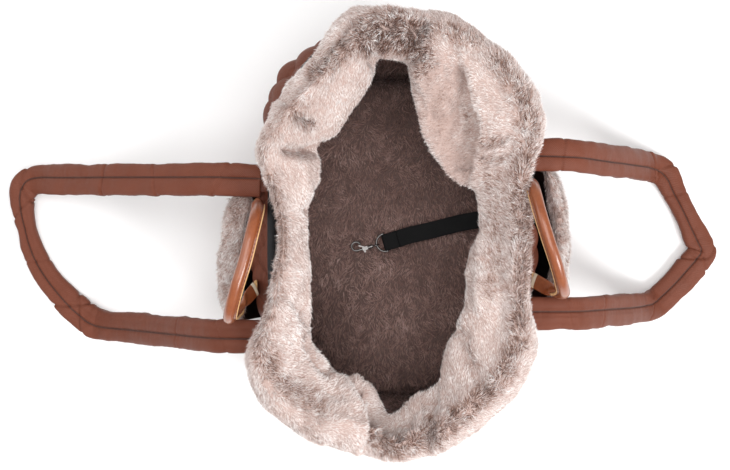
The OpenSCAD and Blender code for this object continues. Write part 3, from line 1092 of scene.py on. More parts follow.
@dataclass(frozen=True)
class Fold:
    """A fold of the collar, drawn in plan in mm: how deep it is and how wide."""

    line: tuple[tuple[float, float], ...]
    depth: float
    width: float
    form: Form = Form.FURROW
    reach: float = 40.0

    def push(self, x: Array, y: Array) -> Array:
        """Height that the fold adds, in mm.

        A furrow adds -depth exp(-(d / width)^2) at distance d from its line. A step adds the same on
        its left side only, and comes back up over its reach.

        Args:
            x: Places across the bag, in mm.
            y: Places along it, in mm.

        Returns:
            Heights, below 0 for a furrow.
        """
        best = np.full(np.shape(x), 1e9)
        signed = np.zeros(np.shape(x))
        pts = np.asarray(self.line, float)
        for (ax, ay), (bx, by) in zip(pts[:-1], pts[1:]):
            dx, dy = bx - ax, by - ay
            size = math.hypot(dx, dy)
            t = np.clip(((x - ax) * dx + (y - ay) * dy) / size**2, 0, 1)
            gap = np.hypot(x - ax - t * dx, y - ay - t * dy)
            side = ((x - ax) * -dy + (y - ay) * dx) / size
            nearer = gap < best
            best = np.where(nearer, gap, best)
            signed = np.where(nearer, side, signed)
        if self.form is Form.FURROW:
            return -self.depth * np.exp(-((best / self.width) ** 2))
        left = 0.5 + 0.5 * np.tanh(signed / self.width)
        return -self.depth * left * np.exp(-((best / self.reach) ** 2))


@dataclass
class Collar:
    """The fur collar that rolls over the rim: outline, section across the roll, and folds."""

    around: int = 520
    across: int = 92
    strands: int = 280000
    pieces: int = 5
    squeeze: float = 1.6
    outer: tuple[tuple[float, float], ...] = (
        (147, 0), (148, 60), (151, 82), (157, 98), (170, 106), (166, 124), (157, 148), (141, 174), (124, 196),
        (96, 216), (67, 238), (42, 247), (5, 246), (-19, 248), (-40, 247), (-56, 241), (-75, 219),
        (-89, 195), (-139, 128), (-150, 107), (-156, 84), (-146, 72), (-139, 55), (-133, 39), (-130, 21),
        (-126, -5), (-129, -24), (-136, -52), (-141, -79), (-144, -94), (-153, -110), (-164, -124),
        (-164, -141), (-158, -159), (-147, -181), (-125, -202), (-96, -223), (-64, -232), (-38, -242),
        (5, -250), (32, -245), (57, -232), (80, -218), (105, -198), (128, -178), (147, -154),
        (152, -137), (160, -122), (166, -104), (150, -98), (147, -88), (145, -68), (144, -55),
        (147, -41), (148, -21),
    )
    mouth: tuple[tuple[float, float], ...] = (
        (86, 0), (85, 26), (83, 46), (66, 50), (55, 61), (38, 86), (28, 108), (22, 134), (16, 155),
        (16, 180), (2, 183), (-19, 184), (-21, 174), (-24, 159), (-38, 138), (-51, 119), (-60, 106),
        (-80, 92), (-79, 58), (-88, 31), (-90, 0), (-87, -32), (-84, -79), (-88, -108), (-68, -134),
        (-60, -150), (-39, -144), (-24, -154), (-16, -167), (-8, -187), (3, -185), (11, -176), (21, -165),
        (47, -154), (51, -135), (53, -117), (63, -98), (74, -73), (72, -38), (75, -19),
    )
    fur_out: float = 5.5
    fur_in: float = 4.0
    # Lines in plan, in mm, along which the pile's tone drops: how far it drops, how wide, and the line. On
    # the crest this is the pile's own darker tufts; in creases, at the feet of steps, beside the flap and
    # over the right inner slope it is painted shade.
    dark_tufts_and_shade: tuple[tuple[float, float, tuple[tuple[float, float], ...]], ...] = (
        (0.14, 13, ((-147, 70), (-139, 98), (-121, 119), (-100, 140))),
        # Painted shade in a crease of the upper left slope.
        (0.30, 9, ((-104, 126), (-90, 119))),
        (0.34, 12, ((-80, 172), (-53, 196), (-29, 208))),
        (0.72, 19, ((-24, 208), (0, 214), (18, 208), (20, 190))),
        (0.30, 10, ((20, 218), (57, 212), (84, 204))),
        (
            0.34,
            13,
            ((110, 178), (129, 152), (138, 126), (140, 100), (132, 68), (130, 26), (133, -26), (132, -60)),
        ),
        (0.34, 11, ((131, -60), (130, -79), (128, -110), (114, -142), (97, -163), (70, -185), (46, -205))),
        (0.36, 15, ((40, -212), (15, -218), (-12, -220))),
        (0.26, 10, ((-133, 60), (-126, 37), (-120, 5), (-123, -26), (-130, -63), (-138, -94))),
        (0.28, 13, ((-138, -100), (-140, -121), (-126, -146), (-102, -167), (-82, -181))),
        (0.20, 8, ((-95, -199), (-82, -214))),
        # Painted shade from here on: the foot of the flap's step, creases, the right inner slope, a dimple
        # and the feet of the lower terraces.
        (0.60, 4.5, ((77, 50), (80, 70), (83, 98), (82, 118), (76, 136))),
        (0.26, 6, ((94, 97), (112, 100))),
        (0.22, 6, ((94, 78), (114, 80))),
        (0.20, 15, ((102, 60), (106, 0), (100, -60))),
        (0.20, 6, ((101, -32), (99, -52))),
        (0.20, 8, ((72, -113), (84, -136))),
        (0.50, 4, ((-96, -112), (-86, -126), (-78, -138))),
        (
            0.70,
            4.2,
            ((-76, -114), (-63, -136), (-47, -149), (-33, -163), (-23, -182), (-21, -196), (-25, -208)),
        ),
        (0.70, 4.2, ((36, -196), (40, -164), (43, -139), (55, -108))),
    )

    def ring(self, corners: tuple[tuple[float, float], ...], grow: float, soften: float) -> Array:
        """Distances of an outline from the middle, on rays even in angle with Y squeezed.

        Args:
            corners: Outline in mm.
            grow: Distance by which it is moved away from the middle, in mm.
            soften: Width in degrees over which its corners are rounded.

        Returns:
            One distance for each ray, in mm.
        """
        pts = (np.asarray(corners, float) + grow * unit(np.asarray(corners, float))) / [1, self.squeeze]
        a = np.arctan2(pts[:, 1], pts[:, 0])
        order = np.argsort(a)
        want = np.linspace(-math.pi, math.pi, RAYS, endpoint=False)
        far = np.interp(want, a[order], np.hypot(*pts[order].T), period=2 * math.pi)
        steps = np.fft.fftfreq(RAYS, 1 / RAYS)
        far = np.fft.ifft(np.fft.fft(far) * np.exp(-((steps * math.radians(soften)) ** 2) / 2)).real
        return np.interp(self.rays(), want, far, period=2 * math.pi)

    def rays(self) -> Array:
        """Returns the angles of the rays."""
        return np.linspace(0, 2 * math.pi, self.around, endpoint=False)

    def folds(self) -> list[Fold]:
        """Returns the folds, from the far end round anticlockwise."""
        step = Form.STEP
        return [
            Fold(((-77, 93), (-97, 87), (-112, 89)), 17, 5.5),
            Fold(((-101, 78), (-96, 38)), -8, 11),
            Fold(((-84, 46), (-92, 28)), 6, 5),
            Fold(((-101, 124), (-91, 120)), 9, 3.5),
            Fold(((-116, 141), (-90, 167), (-43, 220)), 12, 6),
            Fold(((-72, 142), (-52, 176)), 4, 8),
            Fold(((-20, 205), (-22, 184)), 11, 6),
            Fold(((36, 222), (27, 203), (20, 180)), 14, 5),
            Fold(
                ((76, 48), (80, 62), (82, 80), (87, 100), (86, 118), (78, 140), (74, 160)),
                25, 2.6, step, 44,
            ),
            Fold(((67, 184), (56, 150), (46, 128)), -8, 9),
            Fold(((60, 100), (72, 132)), -6, 9),
            Fold(((78, 190), (62, 160), (58, 120)), 5, 8),
            Fold(((93, 96), (116, 100)), 5, 4),
            Fold(((94, 77), (118, 80)), 5, 4),
            Fold(((-92, -116), (-80, -136), (-70, -144)), 11, 5),
            Fold(
                (
                    (-88, -102), (-74, -122), (-66, -138), (-50, -151),
                    (-36, -165), (-27, -182), (-25, -196), (-28, -206),
                ),
                21, 2.6, step, 32,
            ),
            Fold(((-62, -132), (-42, -142), (-28, -152), (-16, -172)), -5, 6),
            Fold(((-9, -176), (-6, -209)), 10, 4),
            Fold(((5, -184), (7, -209)), 10, 4),
            Fold(((40, -200), (43, -164), (46, -139), (60, -105)), 20, 2.6, step, 30),
            Fold(((60, -98), (74, -109)), 9, 6),
            Fold(((70, -115), (76, -132), (88, -160)), 7, 6),
            Fold(((98, -30), (106, -46)), 7, 7),
            Fold(((92, -5), (92, -79)), -6, 8),
            Fold(((112, 20), (110, -90)), 4, 8),
            Fold(((-118, -60), (-108, -20), (-110, 20)), 5, 8),
            Fold(((-118, -150), (-84, -190)), 6, 9),
        ]

    def surface(self) -> Surface:
        """Returns the pelt's surface, a closed roll."""
        ray = self.rays()
        toward = np.stack([np.cos(ray), self.squeeze * np.sin(ray)], 1)
        far = self.ring(self.outer, -self.fur_out, 1.8)
        near = self.ring(self.mouth, self.fur_in, 1.3)
        end = np.abs(np.sin(ray)) ** 3
        top = 0.80 - 0.26 * end
        stretch = np.linalg.norm(toward, axis=1)
        out, inn = far * MM, near * MM
        wall_x, wall_y = WALL.sizes(WALL.top, 0.0)
        p = WALL.power
        rim = 1 / (np.abs(toward[:, 0] / wall_x) ** p + np.abs(toward[:, 1] / wall_y) ** p) ** (1 / p)
        hang = np.clip((out - rim) * stretch * 1.1, 0, 0.016)
        flap = hump(ray, math.radians(58), 0.35) * 0.014
        mm = MM / stretch
        share = [
            (0, 20, 0.206 - flap * 0.4),
            (0, 5, 0.221 - flap * 0.7),
            (0, 0, 0.238 - flap),
            (top * 0.15, 0, 0.252 - flap),
            (top * 0.45, 0, 0.266 - flap * 0.8),
            (top * 0.75, 0, 0.277 - flap * 0.2),
            (top, 0, 0.283),
            (top * 0.4 + 0.6, 0, 0.274),
            (1.0, -1.5, 0.255),
            (1.0, 0, 0.240),
            (1.0, -2, 0.226 - hang * 0.6),
            (1.0, -8, 0.214 - hang),
            (1.0, -22, 0.213),
            (0.5, 0, 0.209),
        ]
        spread = np.stack([inn + s * (out - inn) + d * mm for s, d, _ in share], 1)
        height = np.stack([np.broadcast_to(z, ray.shape) for _, _, z in share], 1)
        weights = spline_weights(len(share), self.across, closed=True)
        spread, height = spread @ weights.T, height @ weights.T
        plan = toward[:, None] * spread[..., None]
        grid = np.concatenate([plan, height[..., None]], -1)
        surface = Surface(grid, wrap_rows=True, wrap_cols=True)
        x, y = grid[..., 0] / MM, grid[..., 1] / MM
        upper = smooth(height, 0.225, 0.245)
        push = sum(f.push(x, y) for f in self.folds()) * upper
        lumps = Noise(0.075, 51)(grid) * 2.4 + Noise(0.034, 52)(grid) * 1.2 + Noise(0.013, 53)(grid) * 0.6
        return surface.pushed((push + lumps * (0.35 + 0.65 * upper)) * MM)

    def build(self) -> list[bpy.types.Object]:
        """Returns the pelt and its pile."""
        surface = self.surface()
        pelt = add_piece("collar_pelt", surface.points(), [surface.faces()], [PALE_PELT])
        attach(pelt, BAG)
        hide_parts(*(f"collar_{n}" for n in ("right", "far", "left", "near")))
        rng = np.random.default_rng(23)
        made = [pelt]
        under = np.ones(surface.grid.shape[:2])
        under[:, -10:] = 0.05
        under[:, :2] = 0.3
        for part in range(self.pieces):
            roots = surface.scatter(self.strands // self.pieces, rng, under)
            fur = self.pile(f"collar_pile_{part}", roots, rng)
            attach(fur, BAG)
            made.append(fur)
        return made

    def pile(self, name: str, roots: Roots, rng: np.random.Generator) -> bpy.types.Object:
        """Grows one part of the pile.

        Inside the crest the strands lie down the slope and round the mouth and are pale. On the crest
        they stand up in tufts and show their brown lower halves. Outside it they hang down. Along the
        feet of steps and in creases the tone drops as painted shade, and the strands there stand up and
        lengthen as on the crest. The flap's tone drops as painted shade.

        Args:
            name: Name of the piece.
            roots: Where the strands stand.
            rng: Source of the random numbers.

        Returns:
            The piece.
        """
        p, col = roots.point, roots.col
        n = len(p)
        x, y = p[:, 0] / MM, p[:, 1] / MM
        above = smooth(p[:, 2], 0.235, 0.262)
        # Tone drop along the listed lines: darker tufts on the crest, painted shade in creases and at the
        # feet of steps.
        dark = np.zeros(n)
        for drop, wide, line in self.dark_tufts_and_shade:
            dark = np.maximum(dark, -Fold(line, drop, wide).push(x, y))
        dark = dark * above
        # Painted shade over the flap, which lies lower, under the edge of the right slope: its tone drops by
        # up to 0.25.
        flap_shade = -Fold(((50, 160), (44, 130), (58, 100), (68, 76)), 0.25, 24).push(x, y)
        flap_shade = flap_shade * smooth(p[:, 2], 0.218, 0.235)
        crest = dark / 0.36
        outward = smooth(col, 0.32, 0.55)[:, None] * 2 - 1
        tuft = Noise(0.009, 61)(p)
        swirl = Noise(0.03, 62)(p)[:, None]
        patch = Noise(0.045, 63)(p)
        round_it = (0.75 + 0.5 * swirl) * roots.down
        stray = unit(rng.normal(size=(n, 3))) * (0.15 + 0.45 * crest[:, None])
        comb = roots.along * outward * 0.8 + round_it + stray
        clump = np.stack([Noise(0.012, 64)(p), Noise(0.012, 65)(p), np.zeros(n)], 1)
        comb = comb + clump * (0.2 + 0.9 * crest[:, None])
        mottle = Noise(0.022, 66)(p)
        tip = 0.81 - flap_shade + patch * 0.06 + mottle * 0.08 - dark * (0.75 + 0.4 * patch + 0.9 * tuft)
        tip = tip + rng.normal(size=n) * (0.05 + 0.15 * crest)
        root = tip - 0.16 - crest * 0.3 + rng.normal(size=n) * 0.08
        long = 0.62 + 0.65 * np.minimum(crest, 1)
        return PALE_PILE.grow(name, roots, comb, root, tip, rng, 0.8 + 1.2 * crest + 0.3 * tuft, long)


# ---------------------------------------------------------------- pockets


class Side(Enum):
    """The two long sides of the bag; the value is the sign of X."""

    LEFT = -1
    RIGHT = 1

    @property
    def label(self) -> str:
        """Returns the side's name in node names."""
        return self.name.lower()


@dataclass
class Pocket:
    """A side pocket: quilted panel, black lining, and a fur band rolled over its mouth."""

    side: Side
    middle: float
    half: float
    depth: float = 0.036
    lip: float = 4.0
    skew: float = 0.1
    foot: float = 0.003
    low: float = 0.045
    high: float = 0.180
    cloth: float = 0.0035
    strands: int = 15000

    def stand_off(self, y: Array, z: Array) -> Array:
        """Distance of the pocket's inner face from the wall: a cosine bulge that grows upwards.

        Args:
            y: Places along the bag.
            z: Heights.

        Returns:
            Distances.
        """
        up = np.clip((z - self.low) / (self.high - self.low), 0, None)
        u = (y - self.middle) / self.half
        bulge = np.cos(np.radians(88 * u)) ** 0.18 * (1 - self.skew * u)
        return self.foot + (self.depth - self.foot) * up**0.85 * bulge

    def sheet(self, off: Array, y: Array, z: Array) -> Surface:
        """The pocket's surface at a distance from its inner face, looking outwards.

        Args:
            off: Distances.
            y: Places along the bag, one a row.
            z: Heights, one a column.

        Returns:
            The surface.
        """
        yy, zz = np.meshgrid(y, z, indexing="ij")
        x = WALL.side_x(yy, zz, self.stand_off(yy, zz) + off)
        grid = np.stack([self.side.value * x, yy, zz], -1)
        return Surface(grid if self.side is Side.LEFT else grid[::-1])

    def build(self) -> list[bpy.types.Object]:
        """Returns the panel, the lining, the trim's pelt and its pile."""
        name = self.side.label
        y = np.linspace(self.middle - self.half, self.middle + self.half, 96)
        z = np.linspace(self.low, self.high, 72)
        raised = quilting(y[:, None] / MM, z[None] / MM, 53)
        sides = smooth(self.half - np.abs(y - self.middle), 0, 0.012)
        edge = sides[:, None] * smooth(z, self.low, self.low + 0.012)
        off = self.cloth + (raised * 0.006 - 0.001) * edge
        outer = self.sheet(off, y, z)
        panel = add_slab(f"pocket_quilt_{name}", outer, self.sheet(np.float64(0.0004), y, z), [BROWN_NYLON])
        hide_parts(f"pocket_panel_{name}")
        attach(panel, BAG)
        front, back = self.sheet(np.float64(-0.0003), y, z), self.sheet(np.float64(-0.0016), y, z)
        black = add_slab(f"pocket_bag_{name}", front, back, [BLACK_NYLON])
        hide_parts(f"pocket_lining_{name}")
        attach(black, BAG)
        return [panel, black, *self.trim(y)]

    def trim(self, y: Array) -> list[bpy.types.Object]:
        """The fur band: a soft roll over the mouth's edge.

        Args:
            y: Places along the bag.

        Returns:
            Its pelt and its pile.
        """
        name = self.side.label
        section = np.array(
            [
                (3.6, -30), (8, -28), (10, -18), (10, -8), (7.5, 0), (3, 3),
                (2 - self.lip, 1), (-self.lip, -5), (-self.lip, -12), (-2, -17),
            ]
        )
        section = spline_weights(len(section), 40, closed=True) @ section * MM
        taper = smooth(self.half - np.abs(y - self.middle), -0.004, 0.02)[:, None]
        off = 0.0036 + (section[None, :, 0] - 0.0036) * (0.35 + 0.65 * taper)
        zz = np.broadcast_to(self.high + section[None, :, 1], off.shape)
        yy = np.broadcast_to(y[:, None], off.shape)
        x = WALL.side_x(yy, zz, self.stand_off(yy, np.minimum(zz, self.high)) + off)
        grid = np.stack([self.side.value * x, yy, zz], -1)
        if self.side is Side.RIGHT:
            grid = grid[::-1]
        surface = Surface(grid, wrap_cols=True)
        surface = surface.pushed(Noise(0.03, 71 + self.side.value)(grid) * 0.0014)
        pelt = add_closed(f"pocket_trim_pelt_{name}", surface, [PALE_PELT])
        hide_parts(f"pocket_trim_{name}")
        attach(pelt, BAG)
        rng = np.random.default_rng(80 + self.side.value)
        roots = surface.scatter(self.strands, rng)
        n = len(roots.point)
        tuft = Noise(0.009, 72)(roots.point)
        patch = Noise(0.03, 73)(roots.point)
        out = np.array([self.side.value * 0.7, 0.0, 0.1])
        clump = np.array([0, 1, 0]) * tuft[:, None]
        comb = out + unit(rng.normal(size=(n, 3))) * 0.4 + np.array([0, -0.8, 0]) + clump
        tip = 0.78 + 0.10 * patch - 0.16 * tuft + rng.normal(size=n) * 0.14
        fur = PALE_PILE.grow(f"pocket_trim_pile_{name}", roots, comb, tip - 0.36, tip, rng, 1.5, 0.95)
        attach(fur, BAG)
        return [pelt, fur]


# ---------------------------------------------------------------- handles


@dataclass(frozen=True)
class Crease:
    """A crease across a sleeve: share of its length, slant, depth and width in mm."""

    at: float
    slant: float
    depth: float
    width: float


@dataclass
class LongHandle:
    """A long padded handle: a flat nylon tube with a seam down its middle and creased corners."""

    side: Side
    route: tuple[tuple[float, float, float], ...]
    creases: tuple[Crease, ...]
    strands: tuple[float, float]
    waists: tuple[tuple[float, float, float], ...]
    width: float = 0.036
    thick: float = 0.0135
    seam: float = 0.12

    def profile(self) -> tuple[Array, Array]:
        """The sleeve's section, w and (1 - |w|^p)^(1/p) with p = 3.4, with close points at the seam.

        Returns:
            Points across and over, each from -1 to 1, from the right edge over the top.
        """
        spread = np.sin(np.linspace(-math.pi / 2, math.pi / 2, 25))
        near = np.array([-0.11, -0.07, -0.04, -0.015, 0.015, 0.04, 0.07, 0.11])
        top = np.sort(np.concatenate([spread, near - self.seam]))[::-1]
        low = np.sort(np.concatenate([spread[1:-1], near + self.seam]))
        wide = np.concatenate([top, low])
        rise = np.maximum(1 - np.abs(wide) ** 3.4, 0) ** (1 / 3.4)
        return wide, rise * np.repeat([1, -1], [len(top), len(low)])

    def build(self) -> list[bpy.types.Object]:
        """Returns the sleeve and its two sewn tails."""
        name = self.side.label
        line = run(np.array(self.route) * MM, 520)
        _, across, over = ring_frame(line, np.cross([0, 0, 1.0], unit(np.gradient(line, axis=0))))
        s = length_along(line) / MM
        total = s[-1]
        slim = 1 - sum(cut * hump(s / total, at, spread) for at, cut, spread in self.waists)
        half_w = self.width / 2 * slim
        wide, high = self.profile()
        facing = np.sign(high)
        tall = np.broadcast_to(self.thick / 2 * high, (len(line), len(wide)))
        section = np.stack([half_w[:, None] * wide, tall], -1)
        tube = swept(line, across, over, section)
        wide = np.broadcast_to(wide, section.shape[:2])
        push = np.zeros(wide.shape)
        for c in self.creases:
            gap = s[:, None] - c.at * total - c.slant * wide * 18
            push -= c.depth * np.exp(-np.abs(gap) / c.width)
            push += c.depth * 0.5 * smooth(gap, 0, c.width) * np.exp(-np.abs(gap) / (c.width * 5))
        to_seam = np.abs(wide + self.seam * facing)
        pucker = np.sin(s[:, None] / 1.3 + 3 * Noise(0.03, 95)(tube.grid)) * np.exp(-to_seam / 0.22)
        swell = 0.7 * np.sin(np.minimum(to_seam, 1) * math.pi)
        push = push - 2.3 * np.exp(-to_seam / 0.05) + swell + 0.22 * pucker
        puffy = Noise(0.05, 91 + self.side.value)(tube.grid) * 0.9 + Noise(0.014, 93)(tube.grid) * 0.3
        puffy = puffy + 0.45 * np.sin(s[:, None] / 7 + wide * 2) * Noise(0.06, 94)(tube.grid)
        ends = smooth(np.minimum(s, total - s), 0, 5)[:, None]
        tube = Surface(tube.grid + (tube.normals() * ((push + puffy) * ends * MM)[..., None]), wrap_cols=True)
        stitched = (to_seam[1:] < 0.045).astype(int)
        sleeve = add_closed(f"padded_sleeve_{name}", tube, [BROWN_NYLON, BROWN_THREAD], stitched)
        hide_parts(f"long_sleeve_{name}", f"long_webbing_{name}")
        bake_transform(sleeve)
        return [sleeve, self.tails()]

    def tails(self) -> bpy.types.Object:
        """Returns the webbing ends that run from the wall into the sleeve."""
        x, high = self.side.value, 0.203
        bands = []
        for y in self.strands:
            wall = float(WALL.side_x(np.array(y * MM), np.array(high), np.array(-0.003)))
            line = np.linspace([x * wall, y * MM, high], [x * 0.150, y * MM, high], 6)
            _, across, over = ring_frame(line, np.array([0, 1.0, 0]))
            bands.append(swept(line, across, over, oval_section(20, 0.0125, 0.0015, 5)))
        tail = add_tubes(f"handle_tails_{self.side.label}", bands, [BROWN_NYLON])
        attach(tail, BAG)
        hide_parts(f"long_tails_{self.side.label}")
        return tail


@dataclass
class LeatherHandle:
    """A short handle: rolled leather with a stitched flange towards the bag, flat where it is sewn."""

    side: Side
    route: tuple[tuple[float, float, float], ...]
    ends: tuple[float, float]
    flange_drop: float
    radius: float = 0.0058

    def build(self) -> list[bpy.types.Object]:
        """Returns the grip, its flange and stitches, and the sewn ends."""
        name = self.side.label
        line = run(np.array(self.route) * MM, 260)
        s = length_along(line)
        gap = np.minimum(s, s[-1] - s)
        flat = 1 - smooth(gap, 0.012, 0.045)
        reference = np.array([1.0, 0, 0]) * (1 - flat)[:, None] + np.array([0, 1.0, 0]) * flat[:, None]
        _, across, over = ring_frame(line, reference)
        half_w = self.radius * (1 - flat) + 0.0082 * flat
        half_t = self.radius * (1 - flat) + 0.0016 * flat
        tube = swept(line, across, over, oval_section(32, half_w, half_t, 2.2))
        turned = ((s[-1] - s[1:]) < 0.004).astype(int)
        grip = add_closed(f"rolled_grip_{name}", tube, [TAN_LEATHER, CREAM_BACKING], turned)
        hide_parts(f"leather_grip_{name}", f"leather_core_{name}")
        made = [grip, *self.flange(line, s, gap)]
        for piece in made:
            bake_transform(piece)
        made.append(self.sewn_ends())
        return made

    def flange(self, line: Array, s: Array, gap: Array) -> list[bpy.types.Object]:
        """The two layers of leather stitched together beside the roll, with their raw edge.

        Args:
            line: Middle of the roll.
            s: Distance along it.
            gap: Distance from the nearer end.

        Returns:
            The flange and its stitches.
        """
        name = self.side.label
        keep = gap > 0.030
        path = line[keep]
        aim = np.array([-self.side.value * math.cos(self.flange_drop), 0, -math.sin(self.flange_drop)])
        along, across, over = ring_frame(path, aim)
        reach = 0.0036 * smooth(gap[keep], 0.030, 0.042)
        u = np.array([0.0, 0.35, 0.74, 1.0, 1.0, 1.0, 0.74, 0.35, 0.0])
        v = np.array([1.5, 1.35, 1.3, 1.2, 0.0, -1.2, -1.3, -1.35, -1.5]) * MM
        out = self.radius * 0.82 + (reach[:, None] + 0.0002) * u[None]
        section = np.stack([out, np.broadcast_to(v, out.shape)], -1)
        band = swept(path, across, over, section)
        rows, cols = band.grid.shape[:2]
        kinds = np.zeros(cols, int)
        kinds[2:6] = 1
        index = np.concatenate([np.tile(kinds, rows - 1), np.ones(2 * cols, int)])
        flange = add_tubes(f"grip_flange_{name}", [band], [TAN_LEATHER, RAW_EDGE], index)
        step = max(1, int(round(0.0042 / float(s[1] - s[0]))))
        at = np.arange(3, len(path) - 3, step)
        a = 2 * math.pi * np.arange(6) / 6
        stitches, faces = [], []
        for lift in (1, -1):
            middle = path[at] + across[at] * (self.radius + 0.0010) + over[at] * lift * 0.00145
            reach_s = np.linspace(-1, 1, 5)
            girth = 0.0004 * np.sqrt(np.maximum(1 - reach_s**2 * 0.9, 0.02))
            ring = (
                middle[:, None, None]
                + along[at][:, None, None] * (0.0013 * reach_s)[None, :, None, None]
                + girth[None, :, None, None]
                * (
                    across[at][:, None, None] * np.cos(a)[None, None, :, None]
                    + over[at][:, None, None] * np.sin(a)[None, None, :, None]
                )
            )
            stitches.append(ring.reshape(-1, 3))
        face = grid_faces(5, 6, False, True)
        total = 2 * len(at)
        faces = (np.arange(total)[:, None, None] * 30 + face[None]).reshape(-1, 4)
        thread = add_piece(f"grip_stitches_{name}", np.vstack(stitches), [faces], [TAN_THREAD])
        return [flange, thread]

    def sewn_ends(self) -> bpy.types.Object:
        """Returns the flat leather ends on the wall, with pale raw edges."""
        x, rows, sides = self.side.value, 24, 28
        section = oval_section(sides, 0.0085, 0.0017, 6)
        edge = (np.abs(section[0, :, 0]) > 0.0082).astype(int)
        bands = []
        for y in self.ends:
            wall = float(WALL.side_x(np.array(y * MM), np.array(0.19), np.array(0.0)))
            route = [(wall + 0.006, 0.172), (wall + 0.008, 0.186), (0.1515, 0.199), (0.151, 0.2125)]
            line = run(np.array([[x * out, y * MM, up] for out, up in route]), rows)
            _, across, over = ring_frame(line, np.array([0, 1.0, 0]))
            bands.append(swept(line, across, over, section))
        raw = np.tile(edge & np.roll(edge, -1), len(bands) * (rows - 1))
        index = np.concatenate([raw, np.ones(2 * len(bands) * sides, int)])
        tab = add_tubes(f"leather_ends_{self.side.label}", bands, [TAN_LEATHER, RAW_EDGE], index)
        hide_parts(f"leather_tabs_{self.side.label}")
        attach(tab, BAG)
        return tab


# ---------------------------------------------------------------- tether


@dataclass
class Tether:
    """The tether: sewn patch, flat webbing, the fold round the D-ring, and the plated snap hook."""

    route: tuple[tuple[float, float, float], ...] = (
        (121, 20, 118), (120, 20, 104), (117, 19.5, 90), (109, 19, 78), (96, 17, 70.5), (80, 14, 67),
        (60, 9, 66), (40, 4, 66), (22, 0, 67.5), (7, -4.7, 69.5),
    )
    ring_at: tuple[float, float, float] = (-8, -9, 69.5)
    heading: float = 196.0
    width: float = 0.020
    thick: float = 0.002

    def build(self) -> list[bpy.types.Object]:
        """Returns the webbing and what is on it."""
        line = run(np.array(self.route) * MM, 91)
        _, across, over = ring_frame(line, np.array([0.2, -1.0, 0]))
        band = swept(line, across, over, oval_section(28, self.width / 2, self.thick / 2, 5))
        strap = add_closed("tether_webbing", band, [BLACK_WEBBING])
        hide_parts("tether_strap")
        fold = self.fold()
        patch = self.patch()
        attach(strap, BAG)
        return [strap, fold, patch]

    def fold(self) -> bpy.types.Object:
        """Returns the doubled end that is sewn round the D-ring's bar: a drop-shaped block."""
        a = math.radians(self.heading)
        along = np.array([math.cos(a), math.sin(a), 0])
        side = np.array([-math.sin(a), math.cos(a), 0])
        reach = np.array([-16, -14.5, -10, -6, -3.2, -1.6, 0, 1.4, 2.3, 2.8])
        half = np.array([1.2, 1.9, 2.05, 2.1, 2.3, 2.6, 2.75, 2.45, 1.6, 0.4])
        wide = np.array([10, 10, 10, 10, 10, 10, 10, 10, 9.9, 9.6])
        line = np.array(self.ring_at) * MM + reach[:, None] * MM * along
        section = oval_section(28, wide * MM, half * MM, 6)
        upward = np.broadcast_to([0.0, 0, 1], line.shape)
        band = swept(line, np.broadcast_to(side, line.shape), upward, section)
        fold = add_closed("tether_fold", band, [BLACK_WEBBING])
        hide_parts("tether_loop")
        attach(fold, BAG)
        return fold

    def patch(self) -> bpy.types.Object:
        """Returns the sewn start of the webbing on the lining."""
        line = run(np.array([(121, 20, 116), (122.5, 20, 128), (123, 20, 145)]) * MM, 12)
        _, across, over = ring_frame(line, np.array([0, -1.0, 0]))
        band = swept(line, across, over, oval_section(28, self.width / 2, 0.0016, 5))
        patch = add_closed("tether_sewn_end", band, [BLACK_WEBBING])
        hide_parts("tether_patch")
        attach(patch, BAG)
        return patch


# ---------------------------------------------------------------- studio


@dataclass
class Studio:
    """Camera straight above the bag, a pale floor, and soft light from all round."""

    height: float = 1.8
    lens: float = 71.9

    def build(self) -> None:
        """Makes the camera, the lights and the floor."""
        scene = bpy.context.scene
        scene.view_settings.view_transform = "Standard"
        data = bpy.data.cameras.new("camera")
        data.lens, data.sensor_width = self.lens, 36.0
        data.clip_start, data.clip_end = 0.05, 20.0
        camera = bpy.data.objects.new("camera", data)
        camera.location = (-0.032, 0.0, self.height)
        scene.collection.objects.link(camera)
        scene.camera = camera
        world = bpy.data.worlds.new("studio_air")
        world.use_nodes = True
        world.node_tree.nodes["Background"].inputs["Color"].default_value = linear("#ffffff")
        world.node_tree.nodes["Background"].inputs["Strength"].default_value = 0.6
        scene.world = world
        self.lamp("overhead", (-0.1, 0.0, 2.6), (0, 0, 0), 1.6, 34)
        self.lamp("key", (1.5, -1.3, 2.0), (0, 0, 0.15), 1.1, 60)
        self.lamp("fill", (-1.8, 0.6, 1.6), (0, 0, 0.15), 1.6, 14)
        surface = Surface(np.array([[[-4.0, -4, 0], [-4, 4, 0]], [[4, -4, 0], [4, 4, 0]]])[:, ::-1])
        floor = add_piece("floor", surface.points() - [0, 0, 0.0005], [surface.faces()], [FLOOR])

    def lamp(
        self,
        name: str,
        at: tuple[float, float, float],
        aim: tuple[float, float, float],
        size: float,
        power: float,
    ) -> None:
        """Adds a soft square lamp.

        Args:
            name: Name of the lamp.
            at: Where it is.
            aim: The point it faces.
            size: Length of its sides.
            power: Power in watts.
        """
        data = bpy.data.lights.new(name, "AREA")
        data.size, data.energy = size, power
        lamp = bpy.data.objects.new(name, data)
        lamp.location = at
        direction = unit(np.array(aim, float) - np.array(at, float))
        pitch = math.acos(-direction[2])
        lamp.rotation_euler = (pitch, 0, math.atan2(direction[1], direction[0]) - math.pi / 2)
        bpy.context.scene.collection.objects.link(lamp)


